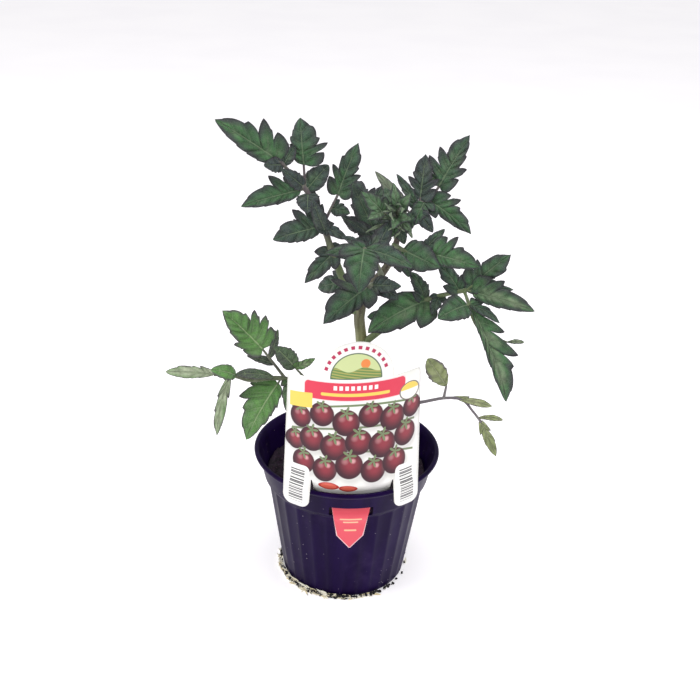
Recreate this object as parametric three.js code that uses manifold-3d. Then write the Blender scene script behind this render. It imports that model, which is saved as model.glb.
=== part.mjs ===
// A young cherry tomato plant in a fluted nursery pot, with its soil and plant label.
// Millimetres, +Z up, origin at the centre of the pot's foot. The front, with the label, faces -Y.
import * as THREE from "three";
import { mergeVertices } from "three/addons/utils/BufferGeometryUtils.js";
import Module from "manifold-3d";

const wasm = await Module();
wasm.setup();

// Driving dimensions
const gap = 0.3; // running gap between touching pieces
const pot = {
  height: 106,
  rimRadius: 70,
  footRadius: 48,
  waistRadius: 59.6, // top of the fluted wall
  waistHeight: 79.5,
  waistStep: 2, // height of the step between the flutes and the collar
  collarHeight: 83.5, // foot of the plain, flaring collar under the lip
  collarFlare: 3.8, // how much the collar widens to the lip
  collarRadius: 66.2,
  collarTop: 101,
  lipHeight: 3,
  lipInner: 67,
  wall: 1.6,
  floor: 2,
  flutes: 30,
  fluteDepth: 0.8,
  drainHoles: 6,
  drainRadius: 4.5,
  drainCircle: 33,
  slotWidth: 31.4, // label slot in the front of the collar
  slotLow: 83.5,
  slotHigh: 91.5,
};
const soilLevel = 86;
const label = {
  centreAngle: 4.2, // degrees round the pot, to the right of its front
  thickness: 0.7,
  shoulderHeight: 189,
  shoulderSlope: 0.045, // the card stands a little askew, its right side higher
  archTop: 216,
  archHalfWidth: 27,
  halfWidth: 50.5,
  tabInner: 29.6,
  tabLow: 89.5,
  mergeHeight: 114, // tabs and middle are one sheet above this
  leanBack: 0.16, // horizontal millimetres for each millimetre of height
  bendRadius: 67.6,
  corner: 3,
  cut: 1, // width of the cut beside each tab
  tongueHalf: 15.5, // half-width of the tongue that goes through the slot
  tongueTop: 97,
  tongueShoulder: 65, // below this the tongue narrows to its point
  tongueTip: 53,
};
const blade = {
  thickness: 0.7,
  foldUp: 0.2, // rise of the edge for each millimetre of half-width
  facing: [0, -0.5, 0.87], // the way the upper faces look, before each leaflet's own roll
};
// The edge of a leaflet, in shares of its midrib, of its length and of its half-width
const edge = {
  ovatePeak: 0.72, // an entire leaflet is widest where this power of the share is a half
  ovateFullness: 0.65, // below 1 its shoulders are fuller
  entireVeins: [0, 0.03, 0.18, 0.55, 1],
  sweep: 0.6, // power by which an entire side's veins run forward
  baseWidth: 0.12,
  shoulder: [-0.02, 0.6], // behind the first lobe, the edge bulges past the base
  baseVein: 0.02,
  firstVein: 0.05,
  veinPitch: 0.14,
  notchVein: 0.06, // from a lobe's vein to its notch's
  endVeins: [0.3, 0.65], // on the rest of the midrib
  firstTip: 0.4, // how far forward the tip of the first lobe is
  tipShift: 0.08, // how much less so for each lobe of the side
  tipPitch: 0.22,
  outerLoss: 0.12, // shortening of a lobe that is not the second
  dropBack: 0.03,
  notch: 0.6,
  notchLoss: 0.08, // each further notch is deeper by this
  endPhase: 0.3,
  endWidth: 0.72, // half-width of the blade's end
  endLoss: 0.07, // how much less for each lobe of the side
  lobedSide: 0.2, // how much wider a side is for each lobe that it has more than the other
};

// The stem's centre line from inside the soil to the growing tip
const stemRoute = [
  [0, 0, 45],
  [0, 0, 84],
  [3, 1, 148],
  [8, 0, 191],
  [6, -1, 214],
  [9, -1, 230],
  [19, 1, 243],
  [27, 3, 256],
  [30, 3, 270],
  [30, 2, 280],
];
const stemRadii = [4, 4.2, 4, 3.8, 3.6, 3.3, 4, 3.4, 2.5, 1.6]; // at even steps of its length

// Each leaf: the points of its rachis, the rachis radius at its foot and tip, side stalks, and
// its leaflets. A leaflet leaves the rachis at a share of its length, or leaves a stalk, and has
// its tip point, width, roll about its own midrib (degrees), bow as a share of its length and its
// number of lobes on the left and right. Some leaves' upper faces look another way, which facing gives.
const leaves = {
  leaf_low_left: {
    colour: 0x5d8a47,
    radii: [2.2, 1.0],
    rachis: [[3, 0, 148], [-21, -10, 162], [-35, -17, 168], [-53, -24, 173], [-70, -27, 172], [-83, -28, 176],
      [-95, -30, 177]],
    stalks: {
      up: { from: 0.53, points: [[-61, -24, 195]], radii: [1.2, 0.8] },
      inner: { from: 0.36, points: [[-38, -25, 182]], radii: [1.0, 0.7] },
    },
    leaflets: [
      { from: 1, tip: [-128, -35, 181], wide: 13, roll: -20, bow: 0.06, lobes: [0, 1] },
      { from: 0.86, tip: [-96, -36, 184], wide: 13, roll: -30, bow: 0.4, lobes: [0, 0] },
      { from: 0.9, tip: [-92, -46, 137], wide: 14, roll: 10, bow: 0.08, lobes: [1, 1], stalk: 3 },
      { from: 0.6, tip: [-79, -36, 181], wide: 10, roll: -10, bow: 0.12, lobes: [0, 0] },
      { from: "up", tip: [-89, -22, 223], wide: 31, roll: -14, bow: 0.05, lobes: [2, 3] },
      { from: "up", share: 0.5, tip: [-73, -18, 187], wide: 7, roll: 0, bow: 0.05, lobes: [0, 0] },
      { from: "up", share: 0.7, tip: [-51, -15, 207], wide: 6, roll: 40, bow: 0.05, lobes: [0, 0] },
      { from: 0.56, tip: [-71, -50, 137], wide: 29, roll: 0, bow: 0.08, lobes: [0, 2], stalk: 4 },
      { from: 0.48, tip: [-43, -41, 155], wide: 17, roll: -12, bow: 0.1, lobes: [1, 1] },
      { from: "inner", tip: [-53, -21, 196], wide: 16, roll: 6, bow: 0.04, lobes: [0, 0] },
      { from: "inner", tip: [-24, -29, 192], wide: 8, roll: 62, bow: 0.05, lobes: [1, 0] },
    ],
  },
  leaf_low_right: {
    colour: 0x87995f,
    radii: [1.7, 0.8],
    rachis: [[3, 1, 134], [27, -2, 140], [53, -5, 147], [72, -8, 153], [83, -10, 153], [92, -12, 144],
      [98, -14, 137]],
    stalks: { up: { from: 0.66, points: [[71, -8, 163]], radii: [1.1, 0.8] } },
    leaflets: [
      { from: "up", tip: [56, -9, 185], wide: 17, roll: -35, bow: 0.1, lobes: [0, 0] },
      { from: 0.74, tip: [106, -7, 147], wide: 9, roll: 30, bow: 0.14, lobes: [1, 0] },
      { from: 1, tip: [110, -24, 114], wide: 13, roll: 25, bow: -0.1, lobes: [1, 1] },
      { from: 0.96, tip: [114, -13, 139], wide: 6, roll: 0, bow: 0.1, lobes: [0, 0] },
    ],
  },
  leaf_right: {
    colour: 0x40604a,
    radii: [2.7, 1.3],
    rachis: [[8, 0, 190], [24, -8, 208], [37, -14, 223], [51, -21, 235], [64, -26, 242], [77, -30, 247]],
    stalks: {
      down: { from: 0.98, points: [[79, -37, 240]], radii: [1.2, 0.9] },
      hang: { from: 0.98, points: [[86, -42, 224], [105, -46, 217]], radii: [0.9, 0.6] },
    },
    leaflets: [
      { from: 0.7, tip: [11.9, -32, 214], wide: 32, roll: -8, bow: 0.1, lobes: [1, 0] },
      { from: 0.68, tip: [40, -6, 250], wide: 15, roll: 10, bow: 0.1, lobes: [1, 0] },
      { from: 1, tip: [106, -20, 270], wide: 26, roll: 6, bow: 0.06, lobes: [2, 2], stalk: 4 },
      { from: 1, tip: [121, -48, 241], wide: 20, roll: 28, bow: 0.1, lobes: [2, 0], stalk: 4 },
      { from: "down", tip: [107, -58, 178], wide: 24, roll: 8, bow: 0.12, lobes: [3, 0] },
      { from: "down", tip: [57, -54, 236], wide: 19, roll: -14, bow: 0.12, lobes: [0, 0], stalk: 2 },
      { from: 0.95, tip: [58, -14, 261], wide: 17, roll: -10, bow: 0.1, lobes: [1, 1] },
      { from: 0.8, tip: [54, -36, 231], wide: 12, roll: 0, bow: 0.1, lobes: [1, 1] },
      { from: 1, tip: [108, -33, 250], wide: 11, roll: 10, bow: 0.05, lobes: [1, 0] },
      { from: "down", tip: [99, -46, 231], wide: 10, roll: 0, bow: 0.1, lobes: [1, 0] },
      { from: "hang", tip: [117, -44, 216.5], wide: 4.5, roll: 0, bow: 0.05, lobes: [0, 0] },
      { from: 0.42, tip: [11, -2, 213], wide: 18, roll: -30, bow: 0.05, lobes: [1, 1] },
    ],
  },
  leaf_upper_left: {
    colour: 0x3f5f49,
    facing: [-0.1, -0.85, 0.5],
    radii: [3.3, 1.0],
    rachis: [[4, 0, 216], [-5, 1, 236], [-12, 4, 252], [-17, 7, 264], [-22, 9, 279], [-26, 12, 289],
      [-36, 15, 302], [-45, 14, 312], [-51, 12, 319]],
    stalks: {
      outer: { from: 0.56, points: [[-12, 18, 296]], radii: [1.2, 0.9] },
      top: { from: 0.79, points: [[-36, 19, 316]], radii: [1.0, 0.8] },
    },
    leaflets: [
      { from: 1, tip: [-94, 3, 349], wide: 27, roll: 0, bow: 0.05, lobes: [0, 2], stalk: 2 },
      { from: "top", tip: [-39, 25, 347], wide: 28, roll: -4, bow: 0.04, lobes: [0, 2] },
      { from: 0.79, tip: [-78, 3, 290], wide: 20, roll: -6, bow: 0.08, lobes: [0, 2], stalk: 3 },
      { from: 0.98, tip: [-42, 21, 329], wide: 9, roll: 10, bow: 0.05, lobes: [0, 0] },
      { from: 0.98, tip: [-62, 4, 319], wide: 11, roll: -10, bow: 0.05, lobes: [0, 0] },
      { from: 0.8, tip: [-50, 6, 316], wide: 11, roll: 0, bow: 0.05, lobes: [0, 0] },
      { from: 0.78, tip: [-19, 25, 315], wide: 15, roll: 4, bow: 0.08, lobes: [0, 0] },
      { from: 0.76, tip: [-32, 0, 288], wide: 16, roll: 4, bow: 0.08, lobes: [0, 0] },
      { from: 0.62, tip: [-30, 20, 299], wide: 9, roll: 0, bow: 0.2, lobes: [1, 1] },
      { from: "outer", tip: [1, 26, 331], wide: 25, roll: -4, bow: 0.05, lobes: [2, 2] },
      { from: "outer", share: 0.55, tip: [-3, 9, 286], wide: 13, roll: -10, bow: 0.06, lobes: [1, 0] },
      { from: 0.55, tip: [-56, 0, 268], wide: 24, roll: -6, bow: 0.08, lobes: [0, 2], stalk: 2 },
      { from: 0.5, tip: [-29, 2, 297], wide: 11, roll: 0, bow: 0.1, lobes: [0, 0] },
      { from: 0.38, tip: [-33, -12, 241], wide: 20, roll: -6, bow: 0.08, lobes: [1, 1] },
      { from: 0.2, tip: [-25, 16, 227], wide: 17, roll: 0, bow: 0.06, lobes: [0, 1] },
    ],
  },
  leaf_upper_right: {
    colour: 0x41604d,
    facing: [0, -0.85, 0.5],
    radii: [1.8, 0.9],
    rachis: [[29, 3, 271], [37, 8, 285], [45, 14, 293], [53, 19, 296], [58, 22, 303]],
    stalks: {},
    leaflets: [
      { from: 1, tip: [78, 34, 337], wide: 27, roll: -4, bow: 0.04, lobes: [3, 2] },
      { from: 0.6, tip: [48, 29, 324], wide: 23, roll: 0, bow: 0.04, lobes: [2, 2], stalk: 3 },
      { from: 0.75, tip: [81, 2, 276], wide: 22, roll: -8, bow: 0.08, lobes: [2, 1], stalk: 2 },
      { from: 0.4, tip: [13, 20, 313], wide: 11, roll: 160, bow: 0.08, lobes: [0, 1], stalk: 3 },
      { from: 0.55, tip: [28, 22, 311], wide: 9, roll: 0, bow: 0.08, lobes: [1, 0] },
      { from: 0.5, tip: [54, -3, 278], wide: 11, roll: 0, bow: 0.1, lobes: [0, 0] },
      { from: 0.7, tip: [40, -1, 281], wide: 15, roll: 0, bow: 0.1, lobes: [1, 0] },
      { from: 0.15, tip: [42, 2, 290], wide: 12, roll: 0, bow: 0.1, lobes: [0, 0] },
    ],
  },
  leaf_mid_right: {
    colour: 0x44704b,
    radii: [1.6, 1.0],
    rachis: [[28, 3, 266], [36, -10, 266], [45, -18, 266], [53, -25, 270]],
    stalks: {},
    leaflets: [
      { from: 0.3, tip: [57, -37, 265], wide: 27, roll: 38, bow: 0.06, lobes: [0, 1] },
      { from: 1, tip: [82, -46, 270], wide: 21, roll: 34, bow: 0.08, lobes: [2, 0] },
      { from: 0.7, tip: [61, -13, 284], wide: 9, roll: 10, bow: 0.06, lobes: [0, 0] },
      { from: 0.2, tip: [39, -12, 248], wide: 10, roll: 10, bow: 0.08, lobes: [0, 0] },
    ],
  },
  leaf_front: {
    colour: 0x3a5c45,
    radii: [1.9, 1.1],
    rachis: [[20, 0, 245], [15, -12, 259], [11, -28, 270], [7, -44, 279]],
    stalks: {},
    leaflets: [
      { from: 1, tip: [4, -70, 259], wide: 28, roll: 0, bow: 0.14, lobes: [0, 1] },
      { from: 0.96, tip: [38, -54, 271], wide: 15, roll: 6, bow: 0.1, lobes: [0, 0] },
      { from: 0.96, tip: [-19, -42, 274], wide: 14, roll: -14, bow: 0.08, lobes: [1, 1] },
      { from: 0.8, tip: [19, -34, 287], wide: 9, roll: 10, bow: 0.08, lobes: [1, 0] },
      { from: 0.75, tip: [-8, -26, 281], wide: 10, roll: 0, bow: 0.08, lobes: [1, 0] },
      { from: 0.5, tip: [25, -6, 286], wide: 13, roll: 10, bow: 0.08, lobes: [0, 0] },
    ],
  },
  leaf_front_low: {
    colour: 0x3a5a46,
    radii: [1.7, 1.2],
    rachis: [[9, -1, 232], [12, -9, 240], [14, -18, 244], [10, -26, 245]],
    stalks: {},
    leaflets: [
      { from: 1, tip: [-18, -58, 231], wide: 31, roll: -18, bow: 0.1, lobes: [1, 2] },
      { from: 0.6, tip: [32, -28, 238], wide: 15, roll: 10, bow: 0.08, lobes: [1, 0] },
      { from: 0.75, tip: [33, -30, 248], wide: 13, roll: 35, bow: 0.08, lobes: [0, 1] },
    ],
  },
  leaf_back: {
    colour: 0x3b5b47,
    radii: [2.0, 1.0],
    rachis: [[23, 2, 254], [19, 16, 260], [15, 34, 266], [10, 54, 272]],
    stalks: {},
    leaflets: [
      { from: 1, tip: [-6, 78, 291], wide: 26, roll: 0, bow: 0.08, lobes: [1, 2] },
      { from: 0.98, tip: [24, 70, 292], wide: 20, roll: -8, bow: 0.06, lobes: [1, 2] },
      { from: 0.8, tip: [-6, 55, 262], wide: 20, roll: -40, bow: 0.06, lobes: [2, 1] },
      { from: 0.62, tip: [5, 45, 250], wide: 21, roll: -55, bow: 0.06, lobes: [1, 2] },
      { from: 0.8, tip: [37, 60, 270], wide: 18, roll: 30, bow: 0.08, lobes: [2, 1] },
      { from: 0.3, tip: [12, 32, 250], wide: 15, roll: -80, bow: 0.08, lobes: [1, 0] },
      { from: 0.5, tip: [-2, 7, 307], wide: 17, roll: -60, bow: 0.06, lobes: [0, 0] },
      { from: 0.42, tip: [-6, 10, 282], wide: 13, roll: -55, bow: 0.08, lobes: [0, 1] },
      { from: 0.3, tip: [-1, 3, 268], wide: 14, roll: -50, bow: 0.08, lobes: [1, 0] },
    ],
  },
  shoot_tip: {
    colour: 0x5f8257,
    facing: [0, -0.8, 0.6],
    radii: [1.6, 0.9],
    rachis: [[30, 2, 281], [29, 0, 292]],
    stalks: { left: { from: 0.15, points: [[19, -3, 291]], radii: [0.9, 0.7] } },
    leaflets: [
      { from: 1, tip: [25, -4, 312], wide: 10, roll: 0, bow: 0.12, lobes: [1, 0] },
      { from: 0.8, tip: [37, -4, 305], wide: 9, roll: 10, bow: 0.14, lobes: [0, 0] },
      { from: 0.55, tip: [38, -13, 290], wide: 9, roll: 30, bow: 0.16, lobes: [0, 0] },
      { from: 0.4, tip: [26, -16, 284], wide: 10, roll: 0, bow: 0.16, lobes: [0, 0] },
      { from: 0.2, tip: [25, -13, 277], wide: 9, roll: 0, bow: 0.12, lobes: [0, 0] },
      { from: 0.5, tip: [20, 8, 305], wide: 12, roll: 0, bow: 0.08, lobes: [0, 0] },
      { from: 0.3, tip: [39, -10, 280], wide: 8, roll: 0, bow: 0.1, lobes: [0, 0] },
      { from: 0.1, tip: [35, -4, 269], wide: 9, roll: 10, bow: 0.1, lobes: [0, 0] },
      { from: "left", tip: [4, -6, 306], wide: 16, roll: 0, bow: 0.08, lobes: [1, 1] },
      { from: "left", tip: [9, -13, 289], wide: 11, roll: 0, bow: 0.12, lobes: [0, 1] },
    ],
  },
};

const colours = {
  pot: 0x2b2036,
  soil: 0x231a1c,
  label: 0xf4f3ee,
  stem: 0x7f8757,
  litter: 0xcdbf8a,
};

// Solids and meshes

function solidOf(geometry) {
  const bare = geometry.clone();
  for (const name of Object.keys(bare.attributes)) {
    if (name !== "position") bare.deleteAttribute(name);
  }
  const merged = mergeVertices(bare, 1e-4);
  return new wasm.Manifold(
    new wasm.Mesh({
      numProp: 3,
      vertProperties: new Float32Array(merged.attributes.position.array),
      triVerts: new Uint32Array(merged.index.array),
    }),
  );
}

function geometryOf(solid) {
  const mesh = solid.getMesh();
  const positions = new Float32Array(mesh.numVert * 3);
  for (let i = 0; i < mesh.numVert; i++) {
    positions.set(mesh.vertProperties.subarray(i * mesh.numProp, i * mesh.numProp + 3), i * 3);
  }
  return new THREE.BufferGeometry()
    .setAttribute("position", new THREE.BufferAttribute(positions, 3))
    .setIndex(new THREE.BufferAttribute(new Uint32Array(mesh.triVerts), 1));
}

function geometryFrom(points, faces) {
  return new THREE.BufferGeometry()
    .setAttribute("position", new THREE.Float32BufferAttribute(points.flatMap((p) => [p.x, p.y, p.z]), 3))
    .setIndex(faces.flat());
}

function largestBody(solid) {
  return solid.decompose().reduce((a, b) => (b.volume() > a.volume() ? b : a));
}

const vector = (xyz) => new THREE.Vector3(...xyz);

// A closed tube with flat ends along a smooth curve, its radius going from one value to the next
function taperedTube(points, radii, sides, steps) {
  const curve = new THREE.CatmullRomCurve3(points, false, "centripetal");
  const frames = curve.computeFrenetFrames(steps, false);
  const ring = [];
  for (let i = 0; i <= steps; i++) {
    const place = (i / steps) * (radii.length - 1);
    const low = Math.min(Math.floor(place), radii.length - 2);
    const radius = THREE.MathUtils.lerp(radii[low], radii[low + 1], place - low);
    const centre = curve.getPointAt(i / steps);
    for (let k = 0; k < sides; k++) {
      const turn = (k / sides) * 2 * Math.PI;
      ring.push(
        centre
          .clone()
          .addScaledVector(frames.normals[i], radius * Math.cos(turn))
          .addScaledVector(frames.binormals[i], radius * Math.sin(turn)),
      );
    }
  }
  const faces = [];
  for (let i = 0; i < steps; i++) {
    for (let k = 0; k < sides; k++) {
      const a = i * sides + k;
      const b = i * sides + ((k + 1) % sides);
      faces.push([a, b, b + sides], [a, b + sides, a + sides]);
    }
  }
  const last = steps * sides;
  for (let k = 1; k < sides - 1; k++) {
    faces.push([0, k + 1, k], [last, last + k, last + k + 1]);
  }
  return geometryFrom(ring, faces);
}

// Leaflets

// Half-width of an entire leaflet at a share of its length, as a share of its greatest
const ovate = (share) => Math.sin(Math.PI * share ** edge.ovatePeak) ** edge.ovateFullness;

// The shares of the midrib where a leaflet's side veins start: one for each lobe and one for its notch,
// and the rest on the blade's end
function veinStarts(lobes) {
  if (lobes === 0) return edge.entireVeins;
  const starts = [0, edge.baseVein];
  for (let i = 0; i < lobes; i++) {
    const start = edge.firstVein + edge.veinPitch * i;
    starts.push(start, start + edge.notchVein);
  }
  const last = starts.at(-1);
  return [...starts, ...edge.endVeins.map((share) => last + (1 - last) * share), 1];
}

// The edge of one side of a leaflet, with a point for each side vein: [share of the length, share of the
// half-width]. A lobe's tip leans forward and the edge drops back from it to a notch. Beyond the last
// notch comes the edge of the blade's end.
function sideEdge(lobes, starts) {
  const inner = starts.slice(1, -1);
  const points = [[0, edge.baseWidth]];
  if (lobes === 0) {
    points.push(...inner.map((start) => [start ** edge.sweep, ovate(start ** edge.sweep)]));
    return [...points, [1, 0]];
  }
  points.push(edge.shoulder);
  for (let i = 0; i < lobes; i++) {
    const end = edge.firstTip - edge.tipShift * lobes + edge.tipPitch * i;
    const reach = lobes === 1 ? 1 : 1 - edge.outerLoss * Math.abs(i - 1);
    points.push([end, reach], [end - edge.dropBack * (i + 1), (edge.notch - edge.notchLoss * i) * reach]);
  }
  const notch = points.at(-1)[0];
  const rest = starts.length - 1 - points.length;
  for (let j = 1; j <= rest; j++) {
    const share = j / (rest + 1);
    const bulge = Math.sin(Math.PI * (edge.endPhase + (1 - edge.endPhase) * share));
    points.push([notch + (1 - notch) * share, (edge.endWidth - edge.endLoss * lobes) * bulge]);
  }
  return [...points, [1, 0]];
}

// A blade from base to tip: its midrib bows towards the upper face, and its two halves fold up a little
function bladeGeometry({ base, tip, wide, roll, bow, lobes, facing }) {
  const along = tip.clone().sub(base);
  const length = along.length();
  along.normalize();
  const towards = vector(facing);
  const up = towards.addScaledVector(along, -towards.dot(along)).normalize();
  up.applyAxisAngle(along, THREE.MathUtils.degToRad(roll));
  const right = along.clone().cross(up);
  const points = [];
  const starts = veinStarts(Math.max(...lobes));
  const [leftEdge, rightEdge] = lobes.map((count, k) => {
    const scale = 1 + edge.lobedSide * (count - lobes[1 - k]);
    return sideEdge(count, starts).map(([share, reach]) => [share, scale * reach]);
  });
  for (let i = 0; i < starts.length; i++) {
    for (const side of [0, 1, -1]) {
      const [share, reach] = side === 0 ? [starts[i], 0] : (side > 0 ? rightEdge : leftEdge)[i];
      const half = (reach * wide) / 2;
      const point = base
        .clone()
        .addScaledVector(along, length * share)
        .addScaledVector(right, side * half)
        .addScaledVector(up, 4 * bow * length * share * (1 - share))
        .addScaledVector(up, half * blade.foldUp);
      points.push(point.clone().addScaledVector(up, blade.thickness / 2));
      points.push(point.clone().addScaledVector(up, -blade.thickness / 2));
    }
  }
  const faces = [];
  const last = starts.length - 1;
  const middleTop = (i) => i * 6;
  const edgeTop = (i, side) => (i === last ? i * 6 : i * 6 + (side > 0 ? 2 : 4));
  for (const side of [1, -1]) {
    const turned = (a, b, c) => (side > 0 ? [a, b, c] : [a, c, b]);
    for (let i = 0; i < last; i++) {
      const [m0, m1, e0, e1] = [middleTop(i), middleTop(i + 1), edgeTop(i, side), edgeTop(i + 1, side)];
      faces.push(turned(m0, e0, m1), turned(m0 + 1, m1 + 1, e0 + 1));
      if (e1 !== m1) faces.push(turned(e0, e1, m1), turned(e0 + 1, m1 + 1, e1 + 1));
      faces.push(turned(e0, e0 + 1, e1), turned(e1, e0 + 1, e1 + 1));
    }
    const [m0, e0] = [middleTop(0), edgeTop(0, side)];
    faces.push(turned(m0, m0 + 1, e0), turned(e0, m0 + 1, e0 + 1));
  }
  return geometryFrom(points, faces);
}

// Leaves

function leafSolid(leaf, clearOf) {
  const route = leaf.rachis.map(vector);
  const main = new THREE.CatmullRomCurve3(route, false, "centripetal");
  const pieces = [taperedTube(route, leaf.radii, 5, 2 * (route.length - 1))];
  const stalkCurves = {};
  for (const [name, stalk] of Object.entries(leaf.stalks)) {
    const points = [main.getPointAt(stalk.from), ...stalk.points.map(vector)];
    stalkCurves[name] = new THREE.CatmullRomCurve3(points, false, "centripetal");
    pieces.push(taperedTube(points, stalk.radii, 4, 2));
  }
  for (const leaflet of leaf.leaflets) {
    const onStalk = typeof leaflet.from === "string";
    const root = onStalk
      ? stalkCurves[leaflet.from].getPointAt(leaflet.share ?? 1)
      : main.getPointAt(leaflet.from);
    const tip = vector(leaflet.tip);
    const stalk = leaflet.stalk ?? 0;
    const base = root.clone().lerp(tip, stalk / root.distanceTo(tip));
    if (stalk > 0) pieces.push(taperedTube([root, base.clone().lerp(tip, 0.05)], [0.8, 0.7], 4, 1));
    pieces.push(bladeGeometry({ ...leaflet, base, tip, facing: leaf.facing ?? blade.facing }));
  }
  const whole = pieces.map(solidOf).reduce((a, b) => a.add(b));
  return largestBody(whole.subtract(clearOf));
}

// Stem

function stemGeometry(extra) {
  const points = stemRoute.map(vector);
  const radii = stemRadii.map((radius) => radius + extra);
  return taperedTube(points, radii, 10, 18);
}

// Pot

// A shape of revolution about Z from [radius, height] pairs; fluted pairs dip at every other step
function turnedAboutZ(profile, segments, fluted = []) {
  const geometry = new THREE.LatheGeometry(profile.map(([r, z]) => new THREE.Vector2(r, z)), segments);
  const position = geometry.attributes.position;
  const count = profile.length;
  for (let i = 0; i < position.count; i++) {
    if (!fluted.includes(i % count) || Math.floor(i / count) % 2 === 0) continue;
    const r = Math.hypot(position.getX(i), position.getZ(i));
    const shrink = (r - pot.fluteDepth) / r;
    position.setXYZ(i, position.getX(i) * shrink, position.getY(i), position.getZ(i) * shrink);
  }
  return geometry.rotateX(Math.PI / 2);
}

// The value at a height, from [height, value] pairs in rising order
function valueAt(height, stops) {
  let i = 1;
  while (i < stops.length - 1 && height > stops[i][0]) i++;
  const share = (height - stops[i - 1][0]) / (stops[i][0] - stops[i - 1][0]);
  return THREE.MathUtils.lerp(stops[i - 1][1], stops[i][1], Math.max(0, share));
}

function potInnerRadius(height) {
  const { wall, fluteDepth } = pot;
  return valueAt(height, [
    [pot.floor, pot.footRadius - fluteDepth - wall],
    [pot.waistHeight, pot.waistRadius - fluteDepth - wall],
    [pot.waistHeight + pot.waistStep, pot.waistRadius + 1 - wall],
    [pot.collarHeight, pot.collarRadius - pot.collarFlare - wall],
    [pot.collarTop, pot.collarRadius - wall],
    [pot.height, pot.lipInner],
  ]);
}

function potSolid() {
  const { height, rimRadius, footRadius, collarRadius, collarHeight, waistRadius, waistHeight, floor } = pot;
  const { collarTop, waistStep } = pot;
  const lipLow = height - pot.lipHeight;
  const rounding = 1;
  const profile = [
    [0, 0],
    [footRadius - rounding, 0],
    [footRadius, floor],
    [waistRadius, waistHeight],
    [waistRadius + rounding, waistHeight + waistStep],
    [collarRadius - pot.collarFlare, collarHeight],
    [collarRadius, collarTop],
    [rimRadius - rounding / 2, lipLow],
    [rimRadius, lipLow + rounding],
    [rimRadius, height - rounding],
    [rimRadius - rounding, height],
    [potInnerRadius(height), height],
    [potInnerRadius(collarTop), collarTop],
    [potInnerRadius(collarHeight), collarHeight],
    [potInnerRadius(waistHeight + waistStep), waistHeight + waistStep],
    [potInnerRadius(waistHeight), waistHeight],
    [potInnerRadius(floor), floor],
    [0, floor],
  ];
  let solid = solidOf(turnedAboutZ(profile, 2 * pot.flutes, [2, 3]));
  for (let i = 0; i < pot.drainHoles; i++) {
    const turn = ((i + 0.5) / pot.drainHoles) * 2 * Math.PI;
    const hole = new THREE.CylinderGeometry(pot.drainRadius, pot.drainRadius, 12, 10)
      .rotateX(Math.PI / 2)
      .translate(pot.drainCircle * Math.cos(turn), pot.drainCircle * Math.sin(turn), 0);
    solid = solid.subtract(solidOf(hole));
  }
  const slot = new THREE.BoxGeometry(pot.slotWidth, 16, pot.slotHigh - pot.slotLow)
    .translate(0, -collarRadius, (pot.slotHigh + pot.slotLow) / 2)
    .rotateZ(THREE.MathUtils.degToRad(label.centreAngle));
  return solid.subtract(solidOf(slot));
}

// Soil

function soilSolid(stemRoom) {
  const rings = 5;
  const spokes = 30;
  const heightAt = (x, y) =>
    soilLevel + 1.3 * Math.sin(x * 0.19 + 0.6) * Math.cos(y * 0.17) + 0.8 * Math.sin(x * 0.43 - y * 0.37);
  const points = [];
  const soilClearance = gap + 0.3; // the polygon of the wall runs a little inside its circle
  const topRadius = potInnerRadius(soilLevel - 2) - soilClearance;
  for (let ring = 1; ring <= rings; ring++) {
    for (let spoke = 0; spoke < spokes; spoke++) {
      const turn = (spoke / spokes) * 2 * Math.PI;
      const radius = (topRadius * ring) / rings;
      const [x, y] = [radius * Math.cos(turn), radius * Math.sin(turn)];
      points.push(new THREE.Vector3(x, y, ring === rings ? soilLevel - 2 : heightAt(x, y)));
    }
  }
  const levels = [pot.collarHeight, pot.waistHeight + pot.waistStep, pot.waistHeight, pot.floor + gap];
  for (const z of levels) {
    for (let spoke = 0; spoke < spokes; spoke++) {
      const turn = (spoke / spokes) * 2 * Math.PI;
      const radius = potInnerRadius(z) - soilClearance;
      points.push(new THREE.Vector3(radius * Math.cos(turn), radius * Math.sin(turn), z));
    }
  }
  const faces = [];
  const rows = rings + levels.length;
  for (let row = 0; row < rows - 1; row++) {
    for (let spoke = 0; spoke < spokes; spoke++) {
      const a = row * spokes + spoke;
      const b = row * spokes + ((spoke + 1) % spokes);
      faces.push([a, a + spokes, b + spokes], [a, b + spokes, b]);
    }
  }
  const top = points.push(new THREE.Vector3(0, 0, heightAt(0, 0))) - 1;
  const bottom = points.push(new THREE.Vector3(0, 0, levels.at(-1))) - 1;
  const lastRow = (rows - 1) * spokes;
  for (let spoke = 0; spoke < spokes; spoke++) {
    const next = (spoke + 1) % spokes;
    faces.push([top, spoke, next], [bottom, lastRow + next, lastRow + spoke]);
  }
  const pocket = new THREE.BoxGeometry(pot.slotWidth + 2, 12, 14)
    .translate(0, -potInnerRadius(soilLevel) + 1.5, soilLevel + 1.5)
    .rotateZ(THREE.MathUtils.degToRad(label.centreAngle));
  return solidOf(geometryFrom(points, faces)).subtract(stemRoom).subtract(solidOf(pocket));
}

// Label

// Distance of the card's middle surface from the pot's axis: the tabs pass outside the lip, and the
// middle passes inside the collar and comes out through the slot
function labelRadius(height, onTab) {
  const { mergeHeight, bendRadius } = label;
  const outside = [[80, 70.9], [107, 70.9]];
  const inside = [[53, 57.7], [78, 61.6], [84, 64.6], [91, 61.4], [107, 64.2]];
  const upper = [[mergeHeight, bendRadius + 0.8], [mergeHeight + 14, bendRadius], [300, bendRadius]];
  return valueAt(height, [...(onTab ? outside : inside), ...upper]);
}

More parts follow.
